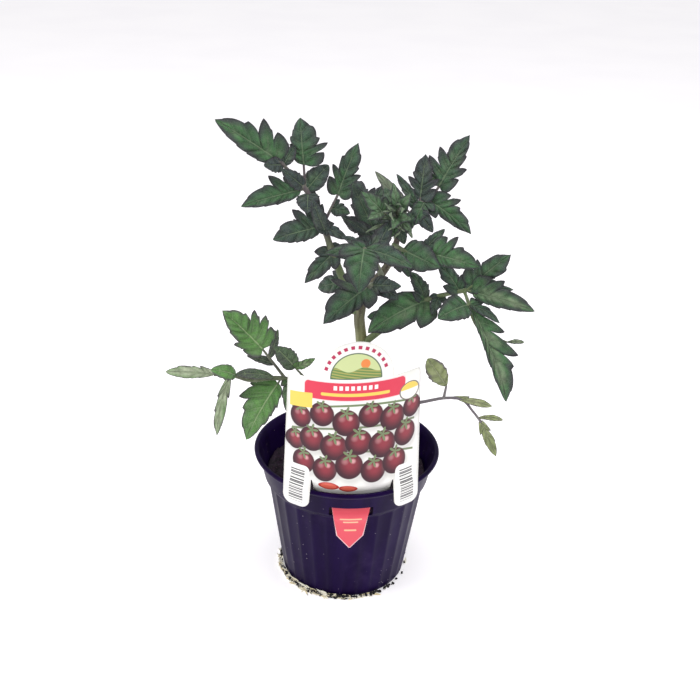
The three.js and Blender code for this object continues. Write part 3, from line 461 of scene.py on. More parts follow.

# Each leaf: its rachis, its stalks (rachis share, points, radii), what share of a lobe's reach is left at its
# first notches, which leaflets are spoon-shaped, and the tone of its stalks from base to end. Each leaflet:
# (the rachis share, stalk or (stalk, share) that it leaves, its tip, its width, its roll about the midrib in
# degrees, its bow as a share of its length, the lobes on its left and right, its tone, and the length of its
# own bare stalk if it has one). Tone 0 is slate purple, 1 green and 2 the pale grey green of an under face.
# Some tones are raised above a leaflet's own colour to paint the sheen on its face
commonLeaf = {"finish": "dark", "slot": "leaf_dark", "facing": (0, -0.5, 0.87), "notch": 0.48, "stalks": {},
              "spoons": ()}
leaves = {
    "leaf_low_left": {
        "finish": "light", "slot": "leaf_light", "notch": 0.72, "stalkTone": (0.1, 0.5), "radii": (2.2, 1.0),
        "spoons": (0, 1, 2, 3),
        "rachis": [(3, 0, 148), (-21, -10, 162), (-35, -17, 168), (-53, -24, 173), (-70, -27, 172),
                   (-83, -28, 176), (-95, -30, 177)],
        "stalks": {"up": (0.53, [(-61, -24, 195)], 1.2, 0.8), "inner": (0.36, [(-38, -25, 182)], 1.0, 0.7)},
        "leaflets": [
            (1, (-128, -35, 181), 13, -20, 0.06, (0, 1), 1.9),
            (0.86, (-96, -36, 184), 13, -30, 0.4, (0, 0), 1.0),
            (0.9, (-92, -46, 137), 14, 10, 0.08, (1, 1), 1.75, 3),
            (0.6, (-79, -36, 181), 10, -10, 0.12, (0, 0), 0.3),
            ("up", (-89, -22, 223), 31, -14, 0.05, (2, 3), 1.0),
            (("up", 0.5), (-73, -18, 187), 7, 0, 0.05, (0, 0), 0.1),
            (("up", 0.7), (-51, -15, 207), 6, 40, 0.05, (0, 0), 0.2),
            (0.56, (-71, -50, 137), 29, 0, 0.08, (0, 2), 1.0, 4),
            (0.48, (-43, -41, 155), 17, -12, 0.1, (1, 1), 0.6),
            ("inner", (-53, -21, 196), 16, 6, 0.04, (0, 0), 0.45),
            ("inner", (-24, -29, 192), 8, 62, 0.05, (1, 0), 1.5),
        ]},
    "leaf_low_right": {
        "finish": "olive", "slot": "leaf_pale", "notch": 0.6, "stalkTone": (0.6, 0.8), "radii": (1.7, 0.8),
        "spoons": (0, 1, 2, 3),
        "rachis": [(3, 1, 134), (27, -2, 140), (53, -5, 147), (72, -8, 153), (83, -10, 153),
                   (92, -12, 144), (98, -14, 137)],
        "stalks": {"up": (0.66, [(71, -8, 163)], 1.1, 0.8)},
        "leaflets": [
            ("up", (56, -9, 185), 17, -35, 0.1, (0, 0), 1.2),
            (0.74, (106, -7, 147), 9, 30, 0.14, (1, 0), 1.5),
            (1, (110, -24, 114), 13, 25, -0.1, (1, 1), 1.35),
            (0.96, (114, -13, 139), 6, 0, 0.1, (0, 0), 1.3),
        ]},
    "leaf_right": {
        "stalkTone": (0.1, 0.1), "radii": (2.7, 1.3), "spoons": (4, 10),
        "rachis": [(8, 0, 190), (24, -8, 208), (37, -14, 223), (51, -21, 235), (64, -26, 242),
                   (77, -30, 247)],
        "stalks": {"down": (0.98, [(79, -37, 240)], 1.2, 0.9),
                   "hang": (0.98, [(86, -42, 224), (105, -46, 217)], 0.9, 0.6)},
        "leaflets": [
            (0.7, (11.9, -32, 214), 32, -8, 0.1, (1, 0), 1.3),
            (0.68, (40, -6, 250), 15, 10, 0.1, (1, 0), 0.5),
            (1, (106, -20, 270), 26, 6, 0.06, (2, 2), 0.75, 4),
            (1, (121, -48, 241), 20, 28, 0.1, (2, 0), 1.3, 4),
            ("down", (107, -58, 178), 24, 8, 0.12, (3, 0), 1.45),
            ("down", (57, -54, 236), 19, -14, 0.12, (0, 0), 0.9, 2),
            (0.95, (58, -14, 261), 17, -10, 0.1, (1, 1), 0.5),
            (0.8, (54, -36, 231), 12, 0, 0.1, (1, 1), 0.5),
            (1, (108, -33, 250), 11, 10, 0.05, (1, 0), 0.6),
            ("down", (99, -46, 231), 10, 0, 0.1, (1, 0), 0.6),
            ("hang", (117, -44, 216.5), 4.5, 0, 0.05, (0, 0), 2.2),
            (0.42, (11, -2, 213), 18, -30, 0.05, (1, 1), 0.6),
        ]},
    "leaf_upper_left": {
        "facing": (-0.1, -0.85, 0.5), "stalkTone": (-0.2, 1.2), "radii": (3.3, 1.0),
        "rachis": [(4, 0, 216), (-5, 1, 236), (-12, 4, 252), (-17, 7, 264), (-22, 9, 279), (-26, 12, 289),
                   (-36, 15, 302), (-45, 14, 312), (-51, 12, 319)],
        "stalks": {"outer": (0.56, [(-12, 18, 296)], 1.2, 0.9), "top": (0.79, [(-36, 19, 316)], 1.0, 0.8)},
        "leaflets": [
            (1, (-94, 3, 349), 27, 0, 0.05, (0, 2), 1.05, 2),
            ("top", (-39, 25, 347), 28, -4, 0.04, (0, 2), 0.7),
            (0.79, (-78, 3, 290), 20, -6, 0.08, (0, 2), 0.9, 3),
            (0.98, (-42, 21, 329), 9, 10, 0.05, (0, 0), 0.2),
            (0.98, (-62, 4, 319), 11, -10, 0.05, (0, 0), 0.0),
            (0.8, (-50, 6, 316), 11, 0, 0.05, (0, 0), 0.1),
            (0.78, (-19, 25, 315), 15, 4, 0.08, (0, 0), 0.35),
            (0.76, (-32, 0, 288), 16, 4, 0.08, (0, 0), 0.0),
            (0.62, (-30, 20, 299), 9, 0, 0.2, (1, 1), 0.0),
            ("outer", (1, 26, 331), 25, -4, 0.05, (2, 2), 0.75),
            (("outer", 0.55), (-3, 9, 286), 13, -10, 0.06, (1, 0), 0.5),
            (0.55, (-56, 0, 268), 24, -6, 0.08, (0, 2), 0.55, 2),
            (0.5, (-29, 2, 297), 11, 0, 0.1, (0, 0), 0.1),
            (0.38, (-33, -12, 241), 20, -6, 0.08, (1, 1), 0.4),
            (0.2, (-25, 16, 227), 17, 0, 0.06, (0, 1), 0.5),
            (0.55, (-4, 2, 269), 11, 0, 0.08, (1, 1), 0.3),
            (0.42, (-3, 4, 254), 9, 0, 0.08, (1, 0), 0.2),
        ]},
    "leaf_upper_right": {
        "facing": (0, -0.85, 0.5), "stalkTone": (0.6, 1.1), "radii": (1.8, 0.9),
        "rachis": [(29, 3, 271), (37, 8, 285), (45, 14, 293), (53, 19, 296), (58, 22, 303)],
        "leaflets": [
            (1, (78, 34, 337), 27, -4, 0.04, (3, 2), 0.6),
            (0.6, (48, 29, 324), 23, 0, 0.04, (2, 2), 0.1, 3),
            (0.75, (81, 2, 276), 22, -8, 0.08, (2, 1), 0.85, 2),
            (0.4, (13, 20, 313), 11, 160, 0.08, (0, 1), 1.2, 3),
            (0.55, (28, 22, 311), 9, 0, 0.08, (1, 0), 0.5),
            (0.5, (54, -3, 278), 11, 0, 0.1, (0, 0), 0.1),
            (0.7, (40, -1, 281), 15, 0, 0.1, (1, 0), 0.8),
            (0.15, (42, 2, 290), 12, 0, 0.1, (0, 0), 0.6),
        ]},
    "leaf_mid_right": {
        "stalkTone": (0.1, 0.4), "radii": (1.6, 1.0),
        "rachis": [(28, 3, 266), (36, -10, 266), (45, -18, 266), (53, -25, 270)],
        "leaflets": [
            (0.3, (57, -37, 265), 27, 38, 0.06, (0, 1), 0.85),
            (1, (82, -46, 270), 21, 34, 0.08, (2, 0), 1.2),
            (0.7, (61, -13, 284), 9, 10, 0.06, (0, 0), 0.4),
            (0.2, (39, -12, 248), 10, 10, 0.08, (0, 0), 0.3),
        ]},
    "leaf_front": {
        "stalkTone": (0.5, 0.5), "radii": (1.9, 1.1),
        "rachis": [(20, 0, 245), (15, -12, 259), (11, -28, 270), (7, -44, 279)],
        "leaflets": [
            (1, (4, -70, 259), 28, 0, 0.14, (0, 1), 0.85),
            (0.96, (38, -54, 271), 15, 6, 0.1, (0, 0), 0.65),
            (0.96, (-19, -42, 274), 14, -14, 0.08, (1, 1), 0.75),
            (0.8, (19, -34, 287), 9, 10, 0.08, (1, 0), 0.3),
            (0.75, (-8, -26, 281), 10, 0, 0.08, (1, 0), 0.2),
            (0.5, (25, -6, 286), 13, 10, 0.08, (0, 0), 0.1),
        ]},
    "leaf_front_low": {
        "stalkTone": (0.5, 0.6), "radii": (1.7, 1.2),
        "rachis": [(9, -1, 232), (12, -9, 240), (14, -18, 244), (10, -26, 245)],
        "leaflets": [
            (1, (-18, -58, 231), 31, -18, 0.1, (1, 2), 0.6),
            (0.6, (32, -28, 238), 15, 10, 0.08, (1, 0), 0.1),
            (0.75, (33, -30, 248), 13, 35, 0.08, (0, 1), 0.3),
        ]},
    "leaf_back": {
        "stalkTone": (0.8, 1.0), "radii": (2.0, 1.0),
        "rachis": [(23, 2, 254), (19, 16, 260), (15, 34, 266), (10, 54, 272)],
        "leaflets": [
            (1, (-6, 78, 291), 26, 0, 0.08, (1, 2), 0.2),
            (0.98, (24, 70, 292), 20, -8, 0.06, (1, 2), 0.3),
            (0.8, (-6, 55, 262), 20, -40, 0.06, (2, 1), 0.3),
            (0.62, (5, 45, 250), 21, -55, 0.06, (1, 2), 0.3),
            (0.8, (37, 60, 270), 18, 30, 0.08, (2, 1), 0.2),
            (0.3, (12, 32, 250), 15, -80, 0.08, (1, 0), 0.2),
            (0.5, (-2, 7, 307), 17, -60, 0.06, (0, 0), 0.55),
            (0.42, (-6, 10, 282), 13, -55, 0.08, (0, 1), 0.15),
            (0.3, (-1, 3, 268), 14, -50, 0.08, (1, 0), 0.4),
            (0.55, (-10, 30, 277), 16, -55, 0.06, (1, 1), 0.15),
            (0.35, (-1, 15, 257), 12, -60, 0.06, (1, 0), 0.2),
        ]},
    "shoot_tip": {
        "finish": "young", "slot": "leaf_young", "facing": (0, -0.8, 0.6), "notch": 0.6,
        "stalkTone": (0, 0.4), "radii": (1.6, 0.9),
        "rachis": [(30, 2, 281), (29, 0, 292)],
        "stalks": {"left": (0.15, [(19, -3, 291)], 0.9, 0.7)},
        "leaflets": [
            (1, (25, -4, 312), 10, 0, 0.12, (1, 0), 1.3),
            (0.8, (37, -4, 305), 9, 10, 0.14, (0, 0), 1.0),
            (0.55, (38, -13, 290), 9, 30, 0.16, (0, 0), 1.2),
            (0.4, (26, -16, 284), 10, 0, 0.16, (0, 0), 1.1),
            (0.2, (25, -13, 277), 9, 0, 0.12, (0, 0), 0.8),
            (0.5, (20, 8, 305), 12, 0, 0.08, (0, 0), 0.6),
            (0.3, (39, -10, 280), 8, 0, 0.1, (0, 0), 0.9),
            (0.1, (35, -4, 269), 9, 10, 0.1, (0, 0), 0.3),
            ("left", (4, -6, 306), 16, 0, 0.08, (1, 1), 1.0),
            ("left", (9, -13, 289), 11, 0, 0.12, (0, 1), 1.2),
            (0.3, (18, -10, 293), 4.5, 35, 0.26, (0, 0), 1.7, 2),
            (0.2, (23, -14, 282), 4, -30, 0.3, (0, 0), 1.9, 3),
            (0.5, (26, -17, 290), 3.6, 60, 0.34, (0, 0), 2.0, 3),
            (0.7, (31, -15, 295), 4, -50, 0.3, (0, 0), 1.8, 3),
            (0.1, (34, -12, 281), 4, 40, 0.3, (0, 0), 2.0, 3),
            (0.05, (40, -8, 275), 4.5, -20, 0.24, (0, 0), 1.9, 4),
            (0.15, (14, -8, 287), 5, 20, 0.22, (0, 0), 1.5, 3),
            (0.9, (28, -10, 299), 4, 50, 0.28, (0, 0), 1.6, 2),
            (0.8, (20, -8, 299), 4.5, -40, 0.26, (0, 0), 1.5, 2),
            (0.6, (37, -10, 290), 4.5, 30, 0.26, (0, 0), 1.7, 3),
            (0.05, (8, -8, 278), 4, 10, 0.2, (0, 0), 1.9, 6),
            (0.02, (27, -10, 275), 4, -40, 0.3, (0, 0), 1.9, 2),
        ]},
}

# Colours of a blade; rimFrom is the share of its half-width where the rim's colour starts, blotch the range
# of its light and dark patches, dust how far pale patches of painted sheen cover it, even how much of its
# tone is left at the rim, and creaseShade how far painted shade darkens it along the veins and midrib
leafColours = {
    "dark": {"slate": (43, 56, 56), "green": (52, 95, 52), "pale": (128, 140, 112), "vein": (126, 150, 114),
             "rim": (56, 55, 61), "line": (30, 26, 34), "rimFrom": 0.5, "blotch": (0.5, 1.12),
             "dust": 0.26, "even": 0.55, "creaseShade": 0.42},
    "light": {"slate": (58, 66, 60), "green": (80, 130, 58), "pale": (168, 178, 150), "vein": (172, 196, 144),
              "rim": (84, 82, 84), "line": (62, 54, 62), "rimFrom": 0.72, "blotch": (0.88, 1.12),
             "dust": 0.22, "even": 0.86, "creaseShade": 0.2},
    "olive": {"slate": (112, 118, 88), "green": (136, 148, 98), "pale": (166, 172, 130),
              "vein": (186, 192, 156), "rim": (112, 106, 106),
              "line": (74, 66, 74), "rimFrom": 0.8, "blotch": (0.84, 1.04),
             "dust": 0.25, "even": 0.86, "creaseShade": 0.28},
    "young": {"slate": (54, 68, 62), "green": (72, 108, 70), "pale": (140, 156, 126), "vein": (152, 176, 138),
              "rim": (66, 68, 68), "line": (40, 40, 44), "rimFrom": 0.6, "blotch": (0.56, 1.12),
             "dust": 0.3, "even": 0.6, "creaseShade": 0.42},
    "under": {"slate": (104, 112, 104), "green": (124, 138, 112), "pale": (150, 158, 140),
              "vein": (164, 172, 150), "rim": (100, 98, 102),
              "line": (62, 56, 64), "rimFrom": 0.6, "blotch": (0.7, 1.05),
             "dust": 0.25, "even": 0.7, "creaseShade": 0.4},
}


def leafFace(name, tones, under=False):
    # A blade's upper or under face: veins run along whole tenths of the map's U, the midrib along V = 0.5
    made, tree = newMaterial(name)
    place, tone = objectPlace(tree), tintOf(tree)
    u, v = split(mapPlace(tree))
    across = abs(v * 2 - 1)
    fromVein = abs(maths("FRACT", u * 10 + 0.5) - 0.5)
    sideVeins = ramp(fromVein, 0.01, 0.05, 1, 0) * ramp(across, 0.15, 0.85, 1, 0)
    veins = maths("MAXIMUM", ramp(across, 0.02, 0.065, 1, 0), sideVeins * 0.45)
    netting = ramp(cells(place, 620, "DISTANCE_TO_EDGE"), 0.0, 0.12, 1, 0)
    patches, mottle = noise(place, 60, 3, 0.6), noise(place, 420, 3, 0.6)
    inner = ((patches - 0.5) * 1.6 + tone) * ramp(across, 0.3, 1.0, 1, tones["even"])
    cushions = maths("MINIMUM", ramp(fromVein, 0.0, 0.3), ramp(across, 0.0, 0.3))
    blotch = ramp(noise(place, 150, 4, 0.65), 0.3, 0.7, *tones["blotch"])
    # painted sheen: pale grey-green patches at random, standing in for soft highlights on the face
    sheenPatches = ramp(noise(place, 95, 5, 0.72), 0.5, 0.72, 0, tones["dust"])
    rimShare = (patches - 0.5) * 1.1 + across
    # pale specks of fine down: partly the hairs' own colour, partly their silvery sheen painted in
    down = ramp(noise(place, 1500, 2, 0.7), 0.58, 0.74, 0, 0.22)
    flat = painted(blend(ramp(inner, 0.0, 1.1), tones["slate"], tones["green"]),
                   (ramp(inner, 1.1, 2.0), tones["pale"]), (ramp(mottle, 0.35, 0.75, 0, 0.3), tones["rim"]))
    # painted shade: the colour is darker along the veins and the midrib, where the creases lie in shade, and
    # lighter on the cushions between them
    flat = blend(1.0, flat, cushions * tones["creaseShade"] + blotch, "MULTIPLY")
    flat = painted(flat, (sheenPatches, tones["pale"]), (netting * 0.14, tones["vein"]),
                   (veins * (0.7 if under else 0.6), tones["vein"]),
                   (ramp(rimShare, tones["rimFrom"], 1.05, 0, 0.85), tones["rim"]),
                   (ramp(across, 0.86, 0.99, 0, 0.8), tones["line"]), (down, (170, 180, 166)))
    height = mottle * 0.4 - veins - netting * 0.35 + cushions * 1.4
    if under:
        height = height * -1
    return shaded(made, flat, ramp(mottle, 0.2, 0.8, 0.46, 0.7), (height, 1.0, 0.45),
                  {"Specular IOR Level": 0.34, "Sheen Weight": 0.12})


def stalkFace(name, low, high, fuzz):
    # Skin of stems and stalks: streaks along them, two tones, and fine fuzz
    made, tree = newMaterial(name)
    place = objectPlace(tree)
    streaks = noise(place, 260, 3, 0.6, (1, 1, 0.12))
    grain = noise(place, 1900, 2, 0.7)
    flat = blend(ramp(noise(place, 40, 2) + tintOf(tree), 0.5, 1.5), low, high)
    flat = painted(flat, (ramp(streaks, 0.4, 0.75, 0, 0.5), fuzz), (ramp(grain, 0.55, 0.8, 0, 0.35), fuzz))
    return shaded(made, flat, ramp(grain, 0.2, 0.8, 0.5, 0.75), (streaks + grain, 0.5, 0.25),
                  {"Specular IOR Level": 0.3, "Sheen Weight": 0.25})


def hairFace():
    # Pale hairs in two close tones
    made, tree = newMaterial("plantHair")
    tone = ramp(noise(objectPlace(tree), 300), 0.3, 0.7)
    return shaded(made, blend(tone, (196, 204, 176), (228, 232, 214)), 0.6)


underFace = leafFace("leafUnder", leafColours.pop("under"), True)
upperFaces = {name: leafFace("leafUpper_" + name, tones) for name, tones in leafColours.items()}
greenStalk = stalkFace("stalkGreen", (96, 112, 72), (86, 74, 82), (140, 146, 124))
greyStalk = stalkFace("stalkGrey", (92, 88, 94), (116, 108, 116), (146, 146, 138))
# the stem's dark purple-brown upper tone is partly painted shade from the leaves above it
stemSkin = stalkFace("stemSkin", (128, 132, 82), (78, 70, 62), (164, 168, 128))
hair = hairFace()


def bezier(stops, count, last=False):
    # Points of a Bezier curve of any degree at count even steps, without its end unless last
    t = np.linspace(0, 1, count, endpoint=last)[:, None]
    n = len(stops) - 1
    return sum(math.comb(n, k) * t**k * (1 - t) ** (n - k) * np.array(p, float) for k, p in enumerate(stops))


def veinRows(lobes):
    # Rows of a leaflet from its base: [share of the midrib, vein number]. A lobe's swelling leads up to its
    # vein, its back to the half number of the notch, and the blade's end holds three and a half veins more
    if lobes == 0:
        t = np.arange(edge["endRows"]) / edge["endRows"]
        return np.column_stack([t**1.8, 0.5 + 4 * t])
    rows = []
    swell = np.arange(edge["swellRows"]) / edge["swellRows"]
    back = np.arange(edge["backRows"]) / edge["backRows"]
    rib, number = 0.0, 0.0
    for i in range(lobes):
        vein = edge["firstVein"] + edge["veinPitch"] * i
        rows.append(np.column_stack([rib + (vein - rib) * swell, number + (i + 1 - number) * swell]))
        rows.append(np.column_stack([vein + edge["notchVein"] * back, i + 1 + 0.5 * back]))
        rib, number = vein + edge["notchVein"], i + 1.5
    t = np.arange(edge["endRows"]) / edge["endRows"]
    rows.append(np.column_stack([rib + (1 - rib) * t**1.5, number + 3.5 * t]))
    return np.vstack(rows)


def toothed(t, teeth, depth, draw):
    # A saw that rises slowly and drops at once, faded in and out by a sine
    return 1 + depth * ((t * teeth + draw.random()) % 1 - 0.5) * np.sin(np.pi * np.clip(t, 0, 1))


def entireSide(ribs, draw):
    # share = rib^0.6 and reach = sin(pi share^0.72)^0.65, with shallow teeth
    share = ribs ** edge["sweep"]
    reach = np.sin(np.pi * share ** edge["ovatePeak"]) ** edge["ovateFullness"]
    reach = reach * toothed(share, 5 + 2 * draw.random(), blade["teeth"] * (0.3 + 0.9 * draw.random()), draw)
    return np.column_stack([share, np.maximum(reach, edge["baseWidth"] * (1 - share))])


def lobedSide(lobes, rowCount, deep, draw):
    # Bezier lobes: each swells from the last notch to a point that leans forward and bulges back into its own
    # notch; a quartic Bezier makes the blade's end
    points = []
    last = (0.0, edge["baseWidth"])
    for i in range(lobes):
        end = edge["firstTip"] - edge["tipShift"] * lobes + edge["tipPitch"] * i
        end = end + 0.05 * (draw.random() - 0.5)
        reach = 1 - edge["outerLoss"] * abs(i - 1) * (lobes > 1)
        reach = reach * (0.86 + 0.2 * draw.random())
        if i == 0:
            shoulder = [(-0.13, 0.55 * reach), (0.0, 1.04 * reach), (end - 0.07, 1.05 * reach)]
            stops = [last, *shoulder, (end, reach)]
        else:
            rise = last[1] + 0.4 * (reach - last[1])
            stops = [last, (last[0] + 0.04, rise), (end - 0.11, 0.96 * reach), (end, reach)]
        swell = bezier(stops, edge["swellRows"])
        t = np.arange(edge["swellRows"]) / edge["swellRows"]
        toothAt = 0.45 + 0.25 * draw.random()  # a small tooth on the outside of the lobe
        swell[:, 1] *= 1 + 0.09 * draw.random() * np.where(t < toothAt, t / toothAt, 0)
        depth = (deep - edge["notchLoss"] * i) * reach * (0.8 + 0.35 * draw.random())
        notch = (end - edge["dropBack"] * (i + 1), depth)
        points += [swell, bezier([(end, reach), (end + 0.015, 0.76 * reach), notch], edge["backRows"])]
        last = notch
    width = (edge["endWidth"] - edge["endLoss"] * lobes) * (0.92 + 0.16 * draw.random())
    count = rowCount - lobes * (edge["swellRows"] + edge["backRows"])
    middle = last[0] + 0.62 * (1 - last[0])
    stops = [last, (last[0] + 0.03, 1.22 * width), (middle, 1.2 * width), (0.93, 0.1), (1, 0)]
    end = bezier(stops, count)
    teeth, depth = 2.4 + draw.random(), blade["teeth"] * (0.6 + draw.random())
    end[:, 1] *= toothed(np.arange(count) / count, teeth, depth, draw)
    return np.vstack([*points, end])


def leaflet(base, tip, wide, roll, bow, lobes, tone, facing, spoon, deep, seed):
    # place(row, a) = base + L share along + half right + (4 bow L share (1 - share) + fold |half| + waves) up
    # for a from -1 to 1 across the blade, share = rib + (end - rib) |a|^1.3 and half = a reach wide / 2; a
    # spoon-shaped blade takes its reach times (spoonBase + spoonGrowth share)
    draw = np.random.default_rng(seed)
    length = np.linalg.norm(tip - base)
    along = (tip - base) / length
    up = unit(facing - (facing @ along) * along)
    angle = math.radians(roll)
    up = up * math.cos(angle) + np.cross(along, up) * math.sin(angle)
    right = np.cross(along, up)
    rowsOf = veinRows(max(lobes))
    rib, vein = rowsOf[:, :1], rowsOf[:, 1:]
    sides = []
    for count, other in (lobes, lobes[::-1]):
        side = lobedSide(count, len(rib), deep, draw) if count else entireSide(rib[:, 0], draw)
        side[:, 1] *= 1 + edge["lobedSide"] * (count - other)
        if spoon:
            side[:, 1] *= edge["spoonBase"] + edge["spoonGrowth"] * np.clip(side[:, 0], 0, 1)
        sides.append(side)
    a = np.linspace(-1, 1, blade["columns"])
    onRight = a[None, :] > 0
    end, reach = (np.where(onRight, sides[1][:, k, None], sides[0][:, k, None]) for k in (0, 1))
    far = np.abs(a)[None, :]
    share = rib + (end - rib) * far**1.3
    half = a[None, :] * reach * wide / 2
    fade = np.sqrt(np.sin(np.pi * np.clip(share, 0, 1)))
    phase = 2 * np.pi * draw.random(2)
    wave = np.where(onRight, np.sin(np.pi * vein + phase[0]), np.sin(np.pi * vein * 1.13 + phase[1]))
    lift = 4 * bow * length * share * (1 - share) + np.abs(half) * blade["foldUp"]
    lift = lift - blade["quilting"] * wide * np.cos(2 * np.pi * vein) * np.sin(np.pi * far) * fade
    lift = lift + blade["ruffle"] * wide * far**2 * wave * fade
    lift = lift - blade["curl"] * wide * far**3 * fade * (0.4 + 0.6 * draw.random())
    top = base + length * share[..., None] * along + half[..., None] * right + lift[..., None] * up
    top = np.vstack([top.reshape(-1, 3), tip])

    rows, columns = share.shape
    face, tipNumber = gridQuads(rows, columns), rows * columns
    lastRow = (rows - 1) * columns + np.arange(columns)
    tipFan = np.stack([lastRow[:-1], lastRow[1:], np.full(columns - 1, tipNumber)], -1)
    outline = gridLoop(rows, columns, tipNumber)
    points, quads, tris = slab(top, -blade["thickness"] * up, face, tipFan, outline)
    u = np.append(np.broadcast_to(vein / 10, share.shape).ravel(), vein[-1, 0] / 10)
    v = np.append(np.broadcast_to(0.5 + a[None, :] / 2, share.shape).ravel(), 0.5)
    uv = np.tile(np.column_stack([u, v]), (2, 1))
    pairs = ((quads, face), (tris, tipFan))
    below = tuple(np.arange(len(faces)) >= len(faces) - len(upper) for faces, upper in pairs)
    return part(np.clip(points, boxLow, boxHigh), quads, tris, uv, tone, below)


def makeLeaf(leaf, number):
    # A leaf's parts: its rachis, its side stalks, the hairs on both, and its leaflets
    main = smoothRoute(leaf["rachis"])
    facing = np.array(leaf["facing"], float)
    draw = np.random.default_rng(100 + number)
    length = np.linalg.norm(np.diff(main, axis=0), axis=1).sum()
    endTone = leaf["stalkTone"][1]
    s = stalkShape
    onRachis = [row[0] for row in leaf["leaflets"] if isinstance(row[0], (int, float))]
    knots = [s["knotAtStem"]] + [(share, *s["knot"]) for share in onRachis]
    rows = max(s["leastRows"], int(length))
    parts = [tube(main, leaf["radii"], s["sides"], rows, facing, s["ribs"], 2, leaf["stalkTone"], knots),
             hairsOn(main, leaf["radii"], int(s["hairs"] * length), s["hairLength"], facing, draw, 3)]
    lines = {}
    for name, (share, stops, *radii) in leaf["stalks"].items():
        lines[name] = smoothRoute([alongLine(main, share), *stops])
        parts.append(tube(lines[name], radii, s["sideSides"], s["sideRows"], facing, 0.0, 2, endTone))
        parts.append(hairsOn(lines[name], radii, s["sideHairs"], s["sideHairLength"], facing, draw, 3))
    for place, (source, tip, wide, roll, bow, lobes, tone, *bare) in enumerate(leaf["leaflets"]):
        name, share = source if isinstance(source, tuple) else (source, 1)
        root = alongLine(lines[name], share) if name in lines else alongLine(main, source)
        tip = np.array(tip, float)
        base = root + (tip - root) * sum(bare) / np.linalg.norm(tip - root)
        if bare:
            end = base + s["bareInto"] * (tip - base)
            stalk = np.array([root, end])
            parts.append(tube(stalk, s["bare"], s["bareSides"], s["bareRows"], facing, 0.0, 2, endTone))
        spoon, seed = place in leaf["spoons"], 1000 * number + place
        parts.append(leaflet(base, tip, wide, roll, bow, lobes, tone, facing, spoon, leaf["notch"], seed))
    return parts


def pieceName(node):
    # leaf_low_left becomes leafLowLeft
    first, *rest = node.split("_")
    return first + "".join(word.title() for word in rest)


for number, (node, ownWays) in enumerate(leaves.items()):
    leaf = commonLeaf | ownWays
    stalkSkin = greyStalk if leaf["slot"] == "leaf_pale" else greenStalk
    faces = [upperFaces[leaf["finish"]], underFace, stalkSkin, hair]
    makePiece(pieceName(node), makeLeaf(leaf, number), faces, node)
    print("leaf made:", node)


def makeStem():
    # The stem along its route, swollen at its nodes, with its hairs
    line = smoothRoute(stem["route"])
    hint = np.array((0.0, 1.0, 0.0))
    knots = [(share, *stem["knot"]) for share in stem["knots"]]
    skin = tube(line, stem["radii"], stem["sides"], stem["rows"], hint, stem["ribs"], 0, stem["tones"], knots)
    draw = np.random.default_rng(7)
    fuzz = hairsOn(line, stem["radii"], stem["hairs"], stem["hairLength"], hint, draw, 1)
    makePiece("plantStem", [skin, fuzz], [stemSkin, hair], "stem")


makeStem()
print("stem made")

# Pot

pot = {
    "height": 106, "rim": 70, "foot": 48, "waist": 59.6, "waistHeight": 79.5, "step": 2, "collarHeight": 83.5,
    "collarFlare": 3.8, "collar": 66.2, "collarTop": 101, "lip": 3, "lipInner": 67, "wall": 1.6, "floor": 2,
    "stepOut": 1, "bevel": 1, "flutes": 30, "fluteDepth": 0.8, "columns": 300, "soften": 1.3, "sharp": 30,
    "fluteStart": 1, "fluteFades": (3, 2),  # height where they begin, and over what height they fade
    "fluteSkin": 0.6,  # they are only cut where the profile is this far outside the inner wall
    "slot": {"turn": 4.2, "wide": 31.4, "low": 83.5, "high": 91.5, "inner": 57, "outer": 73},
    "drains": {"count": 6, "radius": 4.5, "circle": 33, "sides": 32, "low": -3, "high": 6},
}


def potInside(height):
    # Radius of the pot's inner wall at a height
    wall, dip = pot["wall"], pot["fluteDepth"]
    stops = [
        (pot["floor"], pot["foot"] - dip - wall), (pot["waistHeight"], pot["waist"] - dip - wall),
        (pot["waistHeight"] + pot["step"], pot["waist"] + pot["stepOut"] - wall),
        (pot["collarHeight"], pot["collar"] - pot["collarFlare"] - wall),
        (pot["collarTop"], pot["collar"] - wall), (pot["height"], pot["lipInner"]),
    ]
    return np.interp(height, *np.array(stops).T)


def softened(corners, reach, steps=5):
    # The corners of a line rounded: each becomes a quadratic Bezier from reach before it to reach after it
    corners = np.array(corners, float)
    before, here, after = corners[:-2], corners[1:-1], corners[2:]
    toBefore, toAfter = before - here, after - here
    room = 0.45 * np.minimum(np.linalg.norm(toBefore, axis=1), np.linalg.norm(toAfter, axis=1))
    cut = np.minimum(reach, room)[:, None]
    start, end = here + unit(toBefore) * cut, here + unit(toAfter) * cut
    t = np.linspace(0, 1, steps)[None, :, None]
    arcs = start[:, None] * (1 - t) ** 2 + 2 * here[:, None] * t * (1 - t) + end[:, None] * t**2
    return np.vstack([corners[:1], arcs.reshape(-1, 2), corners[-1:]])


def turnedShell(profile, columns, dip):
    # place(p, a) = (r sin a, -r cos a, z) with r = radius(p) - dip(r, z, a), its two ends closed on the axis
    turn = fullTurn(columns)
    r, z = profile[1:-1, :1], profile[1:-1, 1:]
    r = r - dip(r, z, turn)
    grid = np.stack([r * np.sin(turn), -r * np.cos(turn), np.broadcast_to(z, r.shape)], -1)
    return ringPart(grid, [[0, 0, profile[0, 1]], [0, 0, profile[-1, 1]]])


